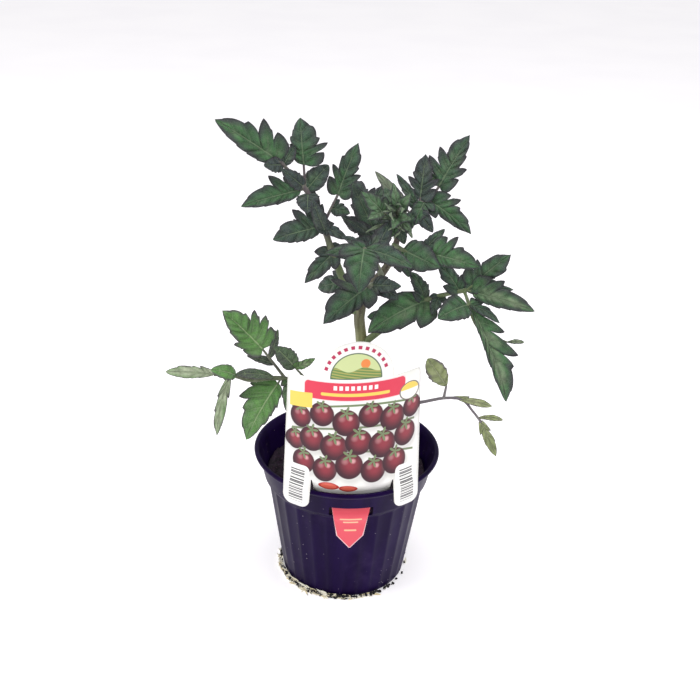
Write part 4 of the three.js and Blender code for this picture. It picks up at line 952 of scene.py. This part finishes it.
def potFace():
    # Dark aubergine plastic with a low sheen: soft mould streaks, rougher pale purple patches at random, and
    # pale dust specks
    made, tree = newMaterial("potPlastic")
    place = objectPlace(tree)
    streaks, palePatches = noise(place, 60, 4, 0.6, (1, 1, 0.1)), noise(place, 26, 4, 0.65)
    specks = ramp(cells(place, 230), 0.06, 0.11, 1, 0) * ramp(noise(place, 40, 2), 0.44, 0.6)
    flat = painted(blend(ramp(streaks, 0.3, 0.75), (12, 2, 34), (24, 8, 54)),
                   (ramp(palePatches, 0.5, 0.85, 0, 0.25), (86, 70, 110)), (specks * 0.7, (168, 160, 172)))
    rough = ramp(palePatches, 0.2, 0.8, 0.34, 0.5) + specks * 0.3
    height = noise(place, 900, 3, 0.6) * 0.3 + specks * 0.6
    return shaded(made, flat, rough, (height, 0.35, 0.2),
                  {"Specular IOR Level": 0.14, "Specular Tint": (176, 132, 250)})


def cutterOf(points, low, high):
    # A prism that is taken out of the pot
    n = len(points)
    corners = [Vector((x, y, z)) * mm for z in (low, high) for x, y in points]
    sides = [(k, (k + 1) % n, (k + 1) % n + n, k + n) for k in range(n)]
    mesh = bpy.data.meshes.new("cutter")
    mesh.from_pydata(corners, [], [range(n)[::-1], range(n, 2 * n), *sides])
    return addObject("cutter", mesh)


def slotCutter():
    # A box across the collar's foot, square to the middle of the card
    slot = pot["slot"]
    angle, half = math.radians(slot["turn"]), slot["wide"] / 2
    side, out = np.array((math.cos(angle), math.sin(angle))), np.array((math.sin(angle), -math.cos(angle)))
    corners = [side * across + out * slot[depth] for across, depth in
               ((-half, "outer"), (half, "outer"), (half, "inner"), (-half, "inner"))]
    return cutterOf(corners, slot["low"], slot["high"])


def drainCutters():
    # Round holes at even angles through the foot
    drains = pot["drains"]
    rim = ringPlaces(drains["radius"], fullTurn(drains["sides"]), 0)
    middles = ringPlaces(drains["circle"], fullTurn(drains["count"]) + np.pi / drains["count"], 0)
    return [cutterOf((middle + rim)[:, :2], drains["low"], drains["high"]) for middle in middles]


def makePot():
    # Profile: out from the axis, up the fluted wall and the collar, over the lip and down inside
    rim, high, low, bevel = pot["rim"], pot["height"], pot["height"] - pot["lip"], pot["bevel"]
    foot, waist, shoulder = pot["foot"], pot["waist"], pot["waistHeight"] + pot["step"]
    inner = [high, pot["collarTop"], pot["collarHeight"], shoulder, pot["waistHeight"], pot["floor"]]
    corners = [
        (0, 0), (foot - bevel, 0), (foot, 2 * bevel), (waist, pot["waistHeight"]),
        (waist + pot["stepOut"], shoulder),
        (pot["collar"] - pot["collarFlare"], pot["collarHeight"]), (pot["collar"], pot["collarTop"]),
        (rim - bevel / 2, low), (rim, low + bevel), (rim, high - bevel), (rim - bevel, high),
        *((float(potInside(z)), z) for z in inner), (0, pot["floor"])]
    profile = softened(corners, pot["soften"])

    def dip(r, z, turn):
        # Flutes: parabolas between sharp ridges, which fade out above the waist and at the foot
        across = turn / (2 * np.pi) * pot["flutes"] % 1
        fadeIn, fadeOut = pot["fluteFades"]
        shown = np.clip((z - pot["fluteStart"]) / fadeIn, 0, 1) * np.clip((shoulder - z) / fadeOut, 0, 1)
        outside = r > potInside(z) + pot["fluteSkin"]
        return pot["fluteDepth"] * (1 - (2 * across - 1) ** 2) * shown * outside

    wall = turnedShell(profile, pot["columns"], dip)
    shell = makePiece("potShell", [wall], [potFace()], "pot", pot["sharp"])
    cutters = [slotCutter(), *drainCutters()]
    for cutter in cutters:
        cut = shell.modifiers.new("cut", "BOOLEAN")
        cut.operation, cut.object, cut.solver = "DIFFERENCE", cutter, "EXACT"
    ready = bpy.data.meshes.new_from_object(shell.evaluated_get(bpy.context.evaluated_depsgraph_get()))
    shell.modifiers.clear()
    shell.data = ready
    for cutter in cutters:
        bpy.data.objects.remove(cutter)
    ready.set_sharp_from_angle(angle=math.radians(pot["sharp"]))


makePot()
print("pot made")

# Soil

soil = {
    "level": 86, "edgeDrop": 2, "gap": 0.6, "floorGap": 0.3, "rings": 70, "spokes": 260, "sharp": 180,
    "clods": [(7, 3.0, 1), (3, 2.2, 2), (1.4, 1.4, 3)],  # size, depth and seed
    "crumbs": 520, "crumbMargin": 2.5, "crumbLift": 0.2, "crumbSizes": (0.25, 1.0),
    "crumbStretch": (0.6, 1.3), "fibres": 90, "fibreMargin": 6, "fibreLift": 0.3, "fibreLengths": (1.5, 4.0),
    "fibreThickness": 0.16, "fibreTilt": 0.4, "fibreTint": 1.6,
}


def lattice(x, y, size, seed):
    # Smooth noise: random values at the corners of square cells of a size, blended with 3t^2 - 2t^3
    values = np.random.default_rng(seed).random((64, 64))
    gx, gy = x / size + 500, y / size + 500
    ix, iy = np.floor(gx).astype(int), np.floor(gy).astype(int)
    fx, fy = gx - ix, gy - iy
    fx, fy = fx * fx * (3 - 2 * fx), fy * fy * (3 - 2 * fy)

    def at(a, b):
        return values[(ix + a) % 64, (iy + b) % 64]

    return (at(0, 0) * (1 - fx) + at(1, 0) * fx) * (1 - fy) + (at(0, 1) * (1 - fx) + at(1, 1) * fx) * fy


def soilHeight(x, y):
    # Broad swells, then clods of three sizes
    swell = 1.3 * np.sin(x * 0.19 + 0.6) * np.cos(y * 0.17) + 0.8 * np.sin(x * 0.43 - y * 0.37)
    clods = sum(depth * (lattice(x, y, size, seed) - 0.5) for size, depth, seed in soil["clods"])
    return soil["level"] + swell + clods


def soilFace():
    # Peat: almost black brown with purple-brown clods, pale fibres and grit
    made, tree = newMaterial("peat")
    place = objectPlace(tree)
    clods, fibres = noise(place, 240, 4, 0.65), noise(place, 700, 3, 0.7, (1, 0.25, 1))
    grit = ramp(cells(place, 420), 0.05, 0.12, 1, 0)
    flat = painted(blend(ramp(clods, 0.3, 0.75), (14, 4, 20), (44, 19, 46)),
                   (ramp(fibres, 0.6, 0.8, 0, 0.6), (84, 50, 80)), (grit * 0.4, (176, 140, 164)))
    flat = blend(tintOf(tree), flat, blend(0.35, flat, (110, 84, 84)))
    return shaded(made, flat, ramp(clods, 0.2, 0.8, 0.7, 0.95), (clods + fibres * 0.5, 1.0, 0.5))


def scattered(shape, tris, places, turns, sizes, tint):
    # place(n, p) = centre n + turn n (size n * shape p): one closed shape many times over
    points = places[:, None] + np.einsum("nij,npj->npi", turns, sizes[:, None] * shape[None])
    offsets = np.arange(len(places))[:, None, None] * len(shape)
    return part(points, None, np.asarray(tris)[None] + offsets, None, np.repeat(tint, len(shape)))


def turnMatrices(yaw, pitch, roll):
    # Rz(yaw) Ry(pitch) Rx(roll) for whole arrays of angles
    def about(angle, a, b):
        made = np.tile(np.eye(3), (len(angle), 1, 1))
        made[:, a, a] = made[:, b, b] = np.cos(angle)
        made[:, b, a] = np.sin(angle)
        made[:, a, b] = -made[:, b, a]
        return made

    return about(yaw, 0, 1) @ about(pitch, 2, 0) @ about(roll, 1, 2)


def hullTris(shape):
    # Triangles of the convex hull of a few points, facing outwards
    work = bmesh.new()
    verts = [work.verts.new(p) for p in shape]
    work.verts.index_update()
    bmesh.ops.convex_hull(work, input=verts)
    bmesh.ops.triangulate(work, faces=work.faces)
    bmesh.ops.recalc_face_normals(work, faces=work.faces)
    tris = [[v.index for v in f.verts] for f in work.faces]
    work.free()
    return tris


# A crumb is an icosahedron: the corners of three golden rectangles
golden = 1.618
rectangle = np.array([(s, t * golden, 0) for s in (-1, 1) for t in (-1, 1)])
icosahedron = np.vstack([rectangle, rectangle[:, [2, 0, 1]], rectangle[:, [1, 2, 0]]])
crumbShape, crumbTris = icosahedron / 1.6, hullTris(icosahedron)


def between(ends, share):
    # low (1 - share) + high share
    return ends[0] + (ends[1] - ends[0]) * share


def tumbled(count, sizes, stretch, power, draw):
    # Turns at random, and sizes between two ends, stretched along each axis
    turns = turnMatrices(*(2 * np.pi * draw.random((3, count))))
    return turns, between(sizes, draw.random((count, 1)) ** power) * between(stretch, draw.random((count, 3)))


def onSoil(count, reach, lift, draw):
    # Places spread evenly over the soil's disc: (reach sqrt(q), 2 pi q), at its height and a lift
    places = ringPlaces(reach * np.sqrt(draw.random(count)), 2 * np.pi * draw.random(count), 0)
    places[:, 2] = soilHeight(places[:, 0], places[:, 1]) + lift
    return places


def makeSoil():
    # place(r, a) = (r cos a, r sin a, soilHeight), down the pot's inner wall at its edge
    edgeHeight = soil["level"] - soil["edgeDrop"]
    reach = float(potInside(edgeHeight)) - soil["gap"]
    turn = fullTurn(soil["spokes"])
    top = ringPlaces(reach * (1 - np.linspace(0, 1, soil["rings"], endpoint=False))[:, None], turn, 0)
    top[..., 2] = soilHeight(top[..., 0], top[..., 1])
    top[0, :, 2] = edgeHeight
    levels = np.array([pot["floor"] + soil["floorGap"], pot["waistHeight"], pot["waistHeight"] + pot["step"],
                       pot["collarHeight"]])[:, None]
    side = ringPlaces(potInside(levels) - soil["gap"], turn, levels)
    middle = float(soilHeight(np.zeros(1), np.zeros(1))[0])
    bed = ringPart(np.vstack([side, top]), [[0, 0, levels[0, 0]], [0, 0, middle]], None, 0.0)
    draw = np.random.default_rng(11)
    n = soil["crumbs"]
    places = onSoil(n, reach - soil["crumbMargin"], soil["crumbLift"], draw)
    turns, sizes = tumbled(n, soil["crumbSizes"], soil["crumbStretch"], 2, draw)
    crumbs = scattered(crumbShape, crumbTris, places, turns, sizes, draw.random(n))
    n = soil["fibres"]
    places = onSoil(n, reach - soil["fibreMargin"], soil["fibreLift"], draw)
    turns = turnMatrices(2 * np.pi * draw.random(n), soil["fibreTilt"] * (draw.random(n) - 0.5), np.zeros(n))
    thin = np.full(n, soil["fibreThickness"])
    sizes = np.column_stack([between(soil["fibreLengths"], draw.random(n)), thin, thin])
    fibres = scattered(crumbShape, crumbTris, places, turns, sizes, np.full(n, soil["fibreTint"]))
    makePiece("soilBed", [bed, crumbs, fibres], [soilFace()], "soil", soil["sharp"])


makeSoil()
print("soil made")

# Plant label

card = {
    "turn": 4.2, "half": 50.5, "shoulder": 189, "slope": 0.045, "archHalf": 27, "archTop": 216,
    "tabInner": 29.6, "slit": 1, "tabLow": 92, "merge": 114, "lean": 0.16, "bend": 67.6, "corner": 3,
    "tabCorner": 6.5, "tongueHalf": 15.5, "tongueTop": 97, "tongueShoulder": 65, "tongueTip": 53,
    "tipHalf": 0.7, "tipRise": 0.3, "shieldHalf": 11.2,  # the tongue's blunt tip and its slopes' upper ends
    "settle": (14, 0.8),  # above the slits: height to the plain bend, and distance outside it
    "soften": 1.5, "thickness": 0.5, "mesh": 2.2, "margin": 0.7, "sharp": 60,
    "meshLow": (-50, 54), "meshHigh": (50.1, 216),  # corners of the grid of points inside the outline
    "outside": [(80, 70.9), (107, 70.9)],  # height and distance from the axis, for the tabs
    "inside": [(53, 57.7), (78, 61.6), (84, 64.6), (91, 61.4), (107, 64.2)],  # for the rest
    "map": (120, 240),  # width and height in millimetres that the whole UV map stands for
}


def cardRadius(height, onTab):
    # Distance of the card from the pot's axis, averaged over a short height so that it bends softly
    rise, outside = card["settle"]
    upper = [(card["merge"], card["bend"] + outside), (card["merge"] + rise, card["bend"])]
    tables = [np.array([*card[side], *upper]).T for side in ("outside", "inside")]
    steps = np.linspace(-card["soften"], card["soften"], 5)
    both = [np.mean([np.interp(height + s, *table) for s in steps], axis=0) for table in tables]
    return np.where(onTab, *both)


def cardPlace(across, height, onTab):
    # place(x, h) = (R sin a, lean (h - merge) - R cos a, h + skew x), a = x / bend + turn, R = cardRadius(h)
    turn = across / card["bend"] + math.radians(card["turn"])
    radius = cardRadius(height, onTab)
    raised = np.maximum(0, height - card["merge"])
    skew = card["slope"] * across * raised / (card["shoulder"] - card["merge"])
    return np.stack([radius * np.sin(turn), card["lean"] * raised - radius * np.cos(turn), height + skew], -1)


def cardOutline():
    # Right half from the tongue's tip up to the arch, corners as quarter circles, then its mirror image
    def quarter(cx, cy, r, fromTurn, toTurn):
        t = np.radians(np.linspace(fromTurn, toTurn, 8))
        return np.column_stack([cx + r * np.cos(t), cy + r * np.sin(t)])

    h, tab, r, c = card["half"], card["tabInner"], card["tabCorner"], card["corner"]
    low, merge, shoulder = card["tabLow"], card["merge"], card["shoulder"]
    tongue = [(card["tipHalf"], card["tongueTip"] + card["tipRise"]),
              (card["shieldHalf"], card["tongueShoulder"]),
              (card["tongueHalf"], low), (card["tongueHalf"], card["tongueTop"]),
              (tab - card["slit"], card["tongueTop"])]
    right = np.vstack([
        tongue, quarter(tab - card["slit"] / 2, merge, card["slit"] / 2, 180, 0),
        quarter(tab + r, low + r, r, 180, 270), quarter(h - r, low + r, r, 270, 360),
        quarter(h - c, shoulder - c, c, 0, 90)])
    arch = np.radians(np.linspace(0, 90, 24))
    arch = [card["archHalf"] * np.cos(arch), shoulder + (card["archTop"] - shoulder) * np.sin(arch)]
    right = np.vstack([right, np.column_stack(arch)])
    return np.vstack([right, (right * (-1, 1))[::-1][1:]])


def insideOf(points, outline, margin):
    # Even-odd test of points against an outline, and a least distance from its edges
    a, b = outline, np.roll(outline, -1, axis=0)
    x, y = points[:, :1], points[:, 1:]
    crosses = (a[:, 1] > y) != (b[:, 1] > y)
    at = a[:, 0] + (y - a[:, 1]) * (b[:, 0] - a[:, 0]) / np.where(b[:, 1] == a[:, 1], 1, b[:, 1] - a[:, 1])
    odd = (crosses & (x < at)).sum(1) % 2 == 1
    ab = b - a
    along = np.clip(((x - a[:, 0]) * ab[:, 0] + (y - a[:, 1]) * ab[:, 1]) / (ab**2).sum(1), 0, 1)
    gap = np.hypot(x - a[:, 0] - along * ab[:, 0], y - a[:, 1] - along * ab[:, 1]).min(1)
    return odd & (gap > margin)


# The generic print, in millimetres across the card from its middle and up from the ground
label = {
    "paper": (245, 245, 238), "white": (250, 250, 246), "red": (226, 58, 84), "gold": (248, 214, 96),
    "ink": (62, 60, 66), "fruitLight": (146, 46, 60), "fruitDark": (58, 16, 32), "shine": (226, 168, 170),
    "stalk": (118, 136, 96), "shadow": (120, 112, 116), "tongue": (230, 76, 92), "hill": (104, 140, 74),
    "rows": (170, 168, 92), "sky": (208, 220, 158), "sun": (238, 140, 70), "beads": (186, 40, 84),
    "fruits": [  # across, height, radius
        (-39, 160, 8.4), (-23, 164, 8.8), (-6, 159, 9.6), (11, 164, 8.8), (27, 160, 9.6), (43, 164, 8.0),
        (-43, 142, 7.6), (-30, 145, 9.2), (-14, 141, 9.8), (3, 145, 9.4), (20, 142, 10.0), (38, 146, 9.2),
        (-36, 127, 8.8), (-20, 124, 8.8), (-3, 128, 9.8), (14, 124, 9.0), (30, 128, 9.4),
    ],
    "halves": [(-17, 111, 6.0), (-3, 109.5, 5.4)],
    "trusses": [(171.5, 0.03, -0.0022), (155.5, 0.05, -0.0016), (138.5, -0.04, -0.002)],  # a + b x + c x^2
    "trussHalf": 0.75, "trussReach": 46.0,
    "horizon": 190.5, "picture": 17.0, "frame": 0.8, "sunPlace": (6, 200.5, 0), "sunRadius": 3.2,
    "hillHeight": 196.5, "ring": 21.5, "ringHalf": 1.2, "ringLow": 195.0, "beadPitch": 4.4,
    # boxes: centre across and height, half width and height, corner radius
    "band": (0.0, 181.0, 36.0, 6.2, 3.0), "dots": (0.0, 183.6, 15.9, 1.5, 0.4),
    "line": (0.0, 178.8, 24.0, 1.1, 1.0), "square": (-39.0, 176.0, 9.0, 5.4, 0.6),
    "tab": (40.0, 106.0, 9.2, 17.5, 4.0), "bars": (40.0, 108.0, 5.6, 12.5, 0.1),
    "oval": (40.5, 175.5, 0), "ovalRadius": 5.7, "border": 0.7, "ovalSplit": 176.5,
    "tongueLow": 97.0, "tongueReach": 20.0, "tongueBorder": 0.9,
    "tongueSlopes": [(0.1755, 0.2), (0.91, 47.9)],  # its half width: height times the first, less the second
    "tongueLines": [(82.0, 8.5), (78.5, 6.0), (70.5, 5.0)],  # height and half width
}


def roundBox(x, y, box):
    # Signed distance from a box with round corners: |max(|p - c| - half + radius, 0)| - radius
    cx, cy, halfX, halfY, radius = box
    dx = maths("MAXIMUM", abs(x - cx) - (halfX - radius), 0.0)
    dy = maths("MAXIMUM", abs(y - cy) - (halfY - radius), 0.0)
    return maths("SQRT", dx * dx + dy * dy) - radius


def inked(flat, distance, tone, soft=0.12):
    # Lays a tone where the signed distance is below zero
    return blend(ramp(distance, -soft, soft, 1, 0), flat, tone)


def fruitGroup():
    # One printed cherry tomato: a shaded disc with a shine and a five-pointed calyx
    group = bpy.data.node_groups.new("printedFruit", "ShaderNodeTree")
    kinds = {"Place": "Vector", "Centre": "Vector", "Radius": "Float", "Under": "Color"}
    for name, kind in kinds.items():
        group.interface.new_socket(name, in_out="INPUT", socket_type="NodeSocket" + kind)
    group.interface.new_socket("Print", in_out="OUTPUT", socket_type="NodeSocketColor")
    outputs = group.nodes.new("NodeGroupInput").outputs
    place, centre, radius, under = (Wire(outputs[name]) for name in kinds)
    given = {0: vectors("SUBTRACT", place, centre), "Scale": maths("DIVIDE", 1.0, radius)}
    local = addNode(group, "VectorMath", given, operation="SCALE")
    calyx = (0, 0.72, 0)

    def near(middle):
        return vectors("DISTANCE", local, middle)

    body = blend(ramp(near((0.1, 0.1, 0)), 0.1, 1.05), label["fruitLight"], label["fruitDark"])
    body = painted(body, (ramp(near((-0.3, 0.3, 0)), 0.05, 0.35, 0.35, 0), label["shine"]),
                   (ramp(near((0.28, 0.34, 0)), 0.06, 0.26, 0.85, 0), label["shine"]))
    x, y = split(vectors("SUBTRACT", local, calyx))
    points = maths("COSINE", maths("ARCTAN2", y, x) * 5) * 0.22 + 0.3
    flat = painted(under, (ramp(near((0.12, -0.3, 0)), 0.8, 1.35, 0.3, 0), label["shadow"]),
                   (ramp(vectors("LENGTH", local), 0.96, 1.02, 1, 0), body),
                   (ramp(near(calyx) - points, -0.04, 0.04, 1, 0), label["stalk"]))
    feed(group.nodes.new("NodeGroupOutput"), {"Print": flat})
    return group


def fruitsOn(flat, place, x, y):
    # Fruit on its trusses, and two half fruits low on the card
    ends = abs(x) - label["trussReach"]
    for a, b, c in label["trusses"]:
        off = abs(y - ((x * c + b) * x + a)) - label["trussHalf"]
        flat = inked(flat, maths("MAXIMUM", off, ends), label["stalk"])
    fruit = fruitGroup()
    for across, height, radius in label["fruits"]:
        given = {"Place": place, "Centre": (across, height, 0), "Radius": radius, "Under": flat}
        flat = addNode(treeOf(place), "Group", given, "Print", node_tree=fruit)
    for across, height, radius in label["halves"]:
        squashed = vectors("MULTIPLY", vectors("SUBTRACT", place, (across, height, 0)), (0.8, 1.5, 0))
        far = vectors("LENGTH", squashed)
        flat = inked(inked(flat, far - radius, (190, 48, 44)), far - radius * 0.78, (226, 104, 84), 0.6)
    return flat


def pictureOn(flat, place, x, y):
    # Under the arch a half disc with hills, sky and sun, and a row of beads round it
    horizon = label["horizon"]
    far = vectors("DISTANCE", place, (0, horizon, 0))
    inPicture = maths("MAXIMUM", far - label["picture"], horizon - y)
    sun = vectors("DISTANCE", place, label["sunPlace"]) - label["sunRadius"]
    hill = maths("SINE", x * 0.3) * 1.6 + label["hillHeight"]
    rows = maths("SINE", y * 3.2 + x * 0.5)
    field = blend(ramp(rows, -0.3, 0.3), label["hill"], label["rows"])
    picture = inked(inked(label["sky"], sun, label["sun"]), y - hill, field)
    flat = inked(inked(flat, inPicture - label["frame"], (86, 110, 84)), inPicture, picture)
    turn = maths("ARCTAN2", y - horizon, x)
    beads = (abs(maths("FRACT", turn * label["beadPitch"]) - 0.5) - 0.26) * 4.5
    ring = maths("MAXIMUM", abs(far - label["ring"]) - label["ringHalf"], label["ringLow"] - y)
    return inked(flat, maths("MAXIMUM", beads, ring), label["beads"])


def bandOn(flat, place, x, y):
    # A red band with a gold line and a row of white dots, a gold square and a half gold oval
    band = roundBox(x, y, label["band"])
    dots = (abs(maths("FRACT", x * 0.25) - 0.5) - 0.3) * 4
    flat = inked(inked(flat, band - label["border"], (252, 226, 226)), band, label["red"])
    flat = inked(flat, maths("MAXIMUM", dots, roundBox(x, y, label["dots"])), (255, 250, 250))
    flat = inked(flat, roundBox(x, y, label["line"]), label["gold"])
    flat = inked(flat, roundBox(x, x * -0.1 + y, label["square"]), label["gold"])
    flattened = vectors("MULTIPLY", vectors("SUBTRACT", place, label["oval"]), (0.72, 1.0, 0))
    oval = vectors("LENGTH", flattened) - label["ovalRadius"]
    flat = inked(inked(flat, oval - label["border"], (120, 112, 108)), oval, (252, 250, 240))
    return inked(flat, maths("MAXIMUM", oval, label["ovalSplit"] - y), label["gold"])


def tabsOn(flat, x, y):
    # White panels with plain bars on the two tabs
    wide = abs(x)
    bars = (maths("SINE", y * 4.7) + maths("SINE", y * 2.9 + 1)) * -0.3
    flat = inked(flat, roundBox(wide, y, label["tab"]), label["white"])
    return inked(flat, maths("MAXIMUM", bars, roundBox(wide, y, label["bars"])), label["ink"])


def tongueOn(flat, x, y):
    # Below the slot: coral with a pale border, which follows the tongue's two slopes, and pale lines
    wide = abs(x)
    low = maths("MAXIMUM", y - label["tongueLow"], wide - label["tongueReach"])
    side = maths("MINIMUM", *(y * slope - drop for slope, drop in label["tongueSlopes"]))
    shield = maths("MAXIMUM", low, wide - (side - label["tongueBorder"]))
    flat = inked(inked(flat, low, (250, 206, 208)), shield, label["tongue"])
    for height, half in label["tongueLines"]:
        flat = inked(flat, roundBox(x, y, (0.0, height, half, 0.8, 0.7)), (250, 190, 150))
    return flat


def cardFace():
    # Glossy printed card: a plain generic print worked out from the map in millimetres
    made, tree = newMaterial("cardPrint")
    wide, tall = card["map"]
    given = {"Vector": mapPlace(tree), "Scale": (wide, tall, 1), "Location": (-wide / 2, 0, 0)}
    place = addNode(tree, "Mapping", given)
    x, y = split(place)
    flat = blend(ramp(noise(place, 0.05, 2), 0.3, 0.7), label["paper"], label["white"])
    for drawOn in (fruitsOn, pictureOn, bandOn):
        flat = drawOn(flat, place, x, y)
    flat = tongueOn(tabsOn(flat, x, y), x, y)
    fine = noise(place, 1.2, 3)
    return shaded(made, flat, ramp(fine, 0.3, 0.7, 0.3, 0.42), (fine, 0.12, 0.1))


def cardBack():
    # Plain matt white board
    made, tree = newMaterial("cardBack")
    fibre = noise(objectPlace(tree), 700, 4, 0.6)
    flat = blend(ramp(fibre, 0.3, 0.7), (236, 235, 226), (246, 246, 240))
    return shaded(made, flat, ramp(fibre, 0.3, 0.7, 0.45, 0.6), (fibre, 0.2, 0.1))


def makeLabel():
    # The outline filled with triangles, bent round the pot, and given its thickness by a modifier
    outline = cardOutline()
    step, (wide, tall) = card["mesh"], card["map"]
    spans = [np.arange(low, high, step) for low, high in zip(card["meshLow"], card["meshHigh"])]
    grid = np.stack(np.meshgrid(*spans), -1).reshape(-1, 2)
    grid = grid[insideOf(grid, outline, card["margin"])]
    flat = [Vector(p) for p in np.vstack([outline, grid]).tolist()]
    made = delaunay_2d_cdt(flat, [], [list(range(len(outline)))], 1, 1e-5)
    x, y = np.array([tuple(v) for v in made[0]]).T
    onTab = (np.abs(x) > card["tabInner"] - card["slit"] / 2) & (y < card["merge"])
    sheet = part(cardPlace(x, y, onTab), None, np.array(made[2]), np.column_stack([x / wide + 0.5, y / tall]))
    piece = makePiece("plantLabel", [sheet], [cardFace(), cardBack()], "label", card["sharp"])
    solid = piece.modifiers.new("thickness", "SOLIDIFY")
    solid.thickness = card["thickness"] * mm
    solid.offset = 0
    solid.material_offset = solid.material_offset_rim = 1


makeLabel()
print("label made")

# Husks round the foot

litter = {
    "inner": 48.4,  # nothing lies nearer to the axis
    "thick": 4.0,  # angle round the pot, in radians, of the side where most of it lies
    "gathered": 0.9, "stray": 0.6,  # the share that lies there, and how far it strays
    "flakes": 150, "flakeGap": 0.9, "flakeSpread": 2.0, "flakeLow": 0.4, "flakeHigh": 2.8,
    "lengths": (2.4, 6.6), "widths": (0.5, 1.3), "thickness": 0.4,  # thickness as a share of the length
    "yaw": 0.45, "pitch": 0.5, "roll": 1.1,
    "crumbs": 520, "crumbGap": 0.4, "crumbSpread": 1.9, "crumbHeights": (0.5, 2.1), "crumbSizes": (0.4, 1.2),
    "crumbStretch": (0.7, 1.3), "crumbTint": 1.5,
}


def flakeShape(rows=6, columns=3):
    # place(u, v) = (u, v sqrt(1 - u^2), 0.3 u^2 + 0.25 v^2 (1 - u^2)), again 0.12 below, joined at its rim
    u, v = np.meshgrid(np.linspace(-0.98, 0.98, rows), np.linspace(-1, 1, columns), indexing="ij")
    wide = np.sqrt(1 - u**2)
    top = np.stack([u, v * wide, 0.3 * u**2 + 0.25 * (v * wide) ** 2], -1).reshape(-1, 3)
    face, none = gridQuads(rows, columns)[:, ::-1], np.zeros((0, 3), int)
    points, quads, tris = slab(top, (0, 0, -0.12), face, none, gridLoop(rows, columns)[::-1])
    return points, np.vstack([quads[:, [0, 1, 2]], quads[:, [0, 2, 3]]])


def litterFace():
    # Straw and husk: cream to tan along the grain, or near black where the tint is above one
    made, tree = newMaterial("strawHusk")
    place, tint = objectPlace(tree), tintOf(tree)
    grain = noise(place, 900, 3, 0.6)
    flat = painted(blend(ramp(tint, 0.0, 1.0), (255, 252, 238), (236, 222, 182)),
                   (ramp(grain, 0.45, 0.8, 0, 0.4), (186, 168, 124)), (ramp(tint, 1.2, 1.4), (20, 14, 18)))
    return shaded(made, flat, ramp(grain, 0.3, 0.7, 0.6, 0.85), (grain, 0.5, 0.2))


def huskTurns(count, draw):
    # Angles round the pot: most gather about the thick side, the rest lie anywhere
    near = litter["thick"] + litter["stray"] * draw.normal(size=count)
    return np.where(draw.random(count) < litter["gathered"], near, 2 * np.pi * draw.random(count))


def makeFlakes(draw):
    # Husks lie round the foot along its edge, higher where they are nearer
    n = litter["flakes"]
    turn = huskTurns(n, draw)
    out = draw.random(n) ** 1.6
    far = litter["inner"] + litter["flakeGap"] + litter["flakeSpread"] * out
    places = ringPlaces(far, turn, litter["flakeLow"] + litter["flakeHigh"] * (1 - out) * draw.random(n))
    yaw = turn + np.pi / 2 + litter["yaw"] * draw.normal(size=n)
    pitch, roll = (litter[key] * (draw.random(n) - 0.5) for key in ("pitch", "roll"))
    longest = between(litter["lengths"], draw.random(n) ** 1.5)
    widest = between(litter["widths"], draw.random(n))
    sizes = np.column_stack([longest, widest, litter["thickness"] * longest])
    return scattered(*flakeShape(), places, turnMatrices(yaw, pitch, roll), sizes, draw.random(n) ** 2)


def makeCrumbs(draw):
    # Dark crumbs in a narrow band round the foot
    n = litter["crumbs"]
    turn = huskTurns(n, draw)
    far = litter["inner"] + litter["crumbGap"] + litter["crumbSpread"] * draw.random(n) ** 1.3
    places = ringPlaces(far, turn, between(litter["crumbHeights"], draw.random(n)))
    turns, sizes = tumbled(n, litter["crumbSizes"], litter["crumbStretch"], 1, draw)
    return scattered(crumbShape, crumbTris, places, turns, sizes, np.full(n, litter["crumbTint"]))


def makeLitter():
    # Husks and crumbs in one piece
    draw = np.random.default_rng(5)
    flakes, crumbs = makeFlakes(draw), makeCrumbs(draw)
    for heap in (flakes, crumbs):  # none reaches into the pot or below the floor
        points = heap["points"]
        far = np.hypot(points[:, 0], points[:, 1])
        points[:, :2] *= (np.maximum(far, litter["inner"]) / far)[:, None]
        points[:, 2] = np.maximum(points[:, 2], 0.02)
    makePiece("footHusks", [flakes, crumbs], [litterFace()], "foot_litter")


makeLitter()
print("husks made")

# Floor and light

studio = {
    "floor": [(243, 239, 244), (238, 234, 240)],
    "reach": 30,
    "sky": 0.52,
    "floorGlow": 0.44,
    "lamps": [  # place, what it faces, size, watts
        ((-1.5, -0.5, 1.2), (0, 0, 0.15), 1.0, 12),
        ((1.5, -0.3, 1.1), (0, 0, 0.15), 1.2, 8),
        ((0.1, -0.2, 2.2), (0, 0, 0.1), 1.2, 15),
        ((0, -1.6, 0.9), (0, 0, 0.2), 0.9, 2.5),
    ],
}


def makeFloor():
    # A wide sheet of pale paper that glows a little
    mesh = bpy.data.meshes.new("studioFloor")
    corners = [(studio["reach"] * x, studio["reach"] * y, 0) for x, y in ((-1, -1), (1, -1), (1, 1), (-1, 1))]
    mesh.from_pydata(corners, [], [(0, 1, 2, 3)])
    made, tree = newMaterial("floorPaper")
    flat = blend(ramp(noise(objectPlace(tree), 4, 3), 0.3, 0.7), *studio["floor"])
    glow = {"Emission Color": (255, 255, 255), "Emission Strength": studio["floorGlow"]}
    mesh.materials.append(shaded(made, flat, 0.9, None, {"Specular IOR Level": 0.1, **glow}))
    addObject("studioFloor", mesh)


def makeLight():
    # An even white sky and four round lamps
    world = bpy.data.worlds.new("studioLight")
    bpy.context.scene.world = world
    world.use_nodes = True
    feed(world.node_tree.nodes["Background"], {"Color": (255, 255, 255), "Strength": studio["sky"]})
    for number, (place, target, size, watts) in enumerate(studio["lamps"]):
        data = bpy.data.lights.new(f"lamp{number}", "AREA")
        data.shape, data.size, data.energy = "DISK", size, watts
        lamp = addObject(f"lamp{number}", data)
        lamp.location = place
        lamp.rotation_euler = (Vector(target) - Vector(place)).to_track_quat("-Z", "Y").to_euler()


makeFloor()
makeLight()
print("studio made")
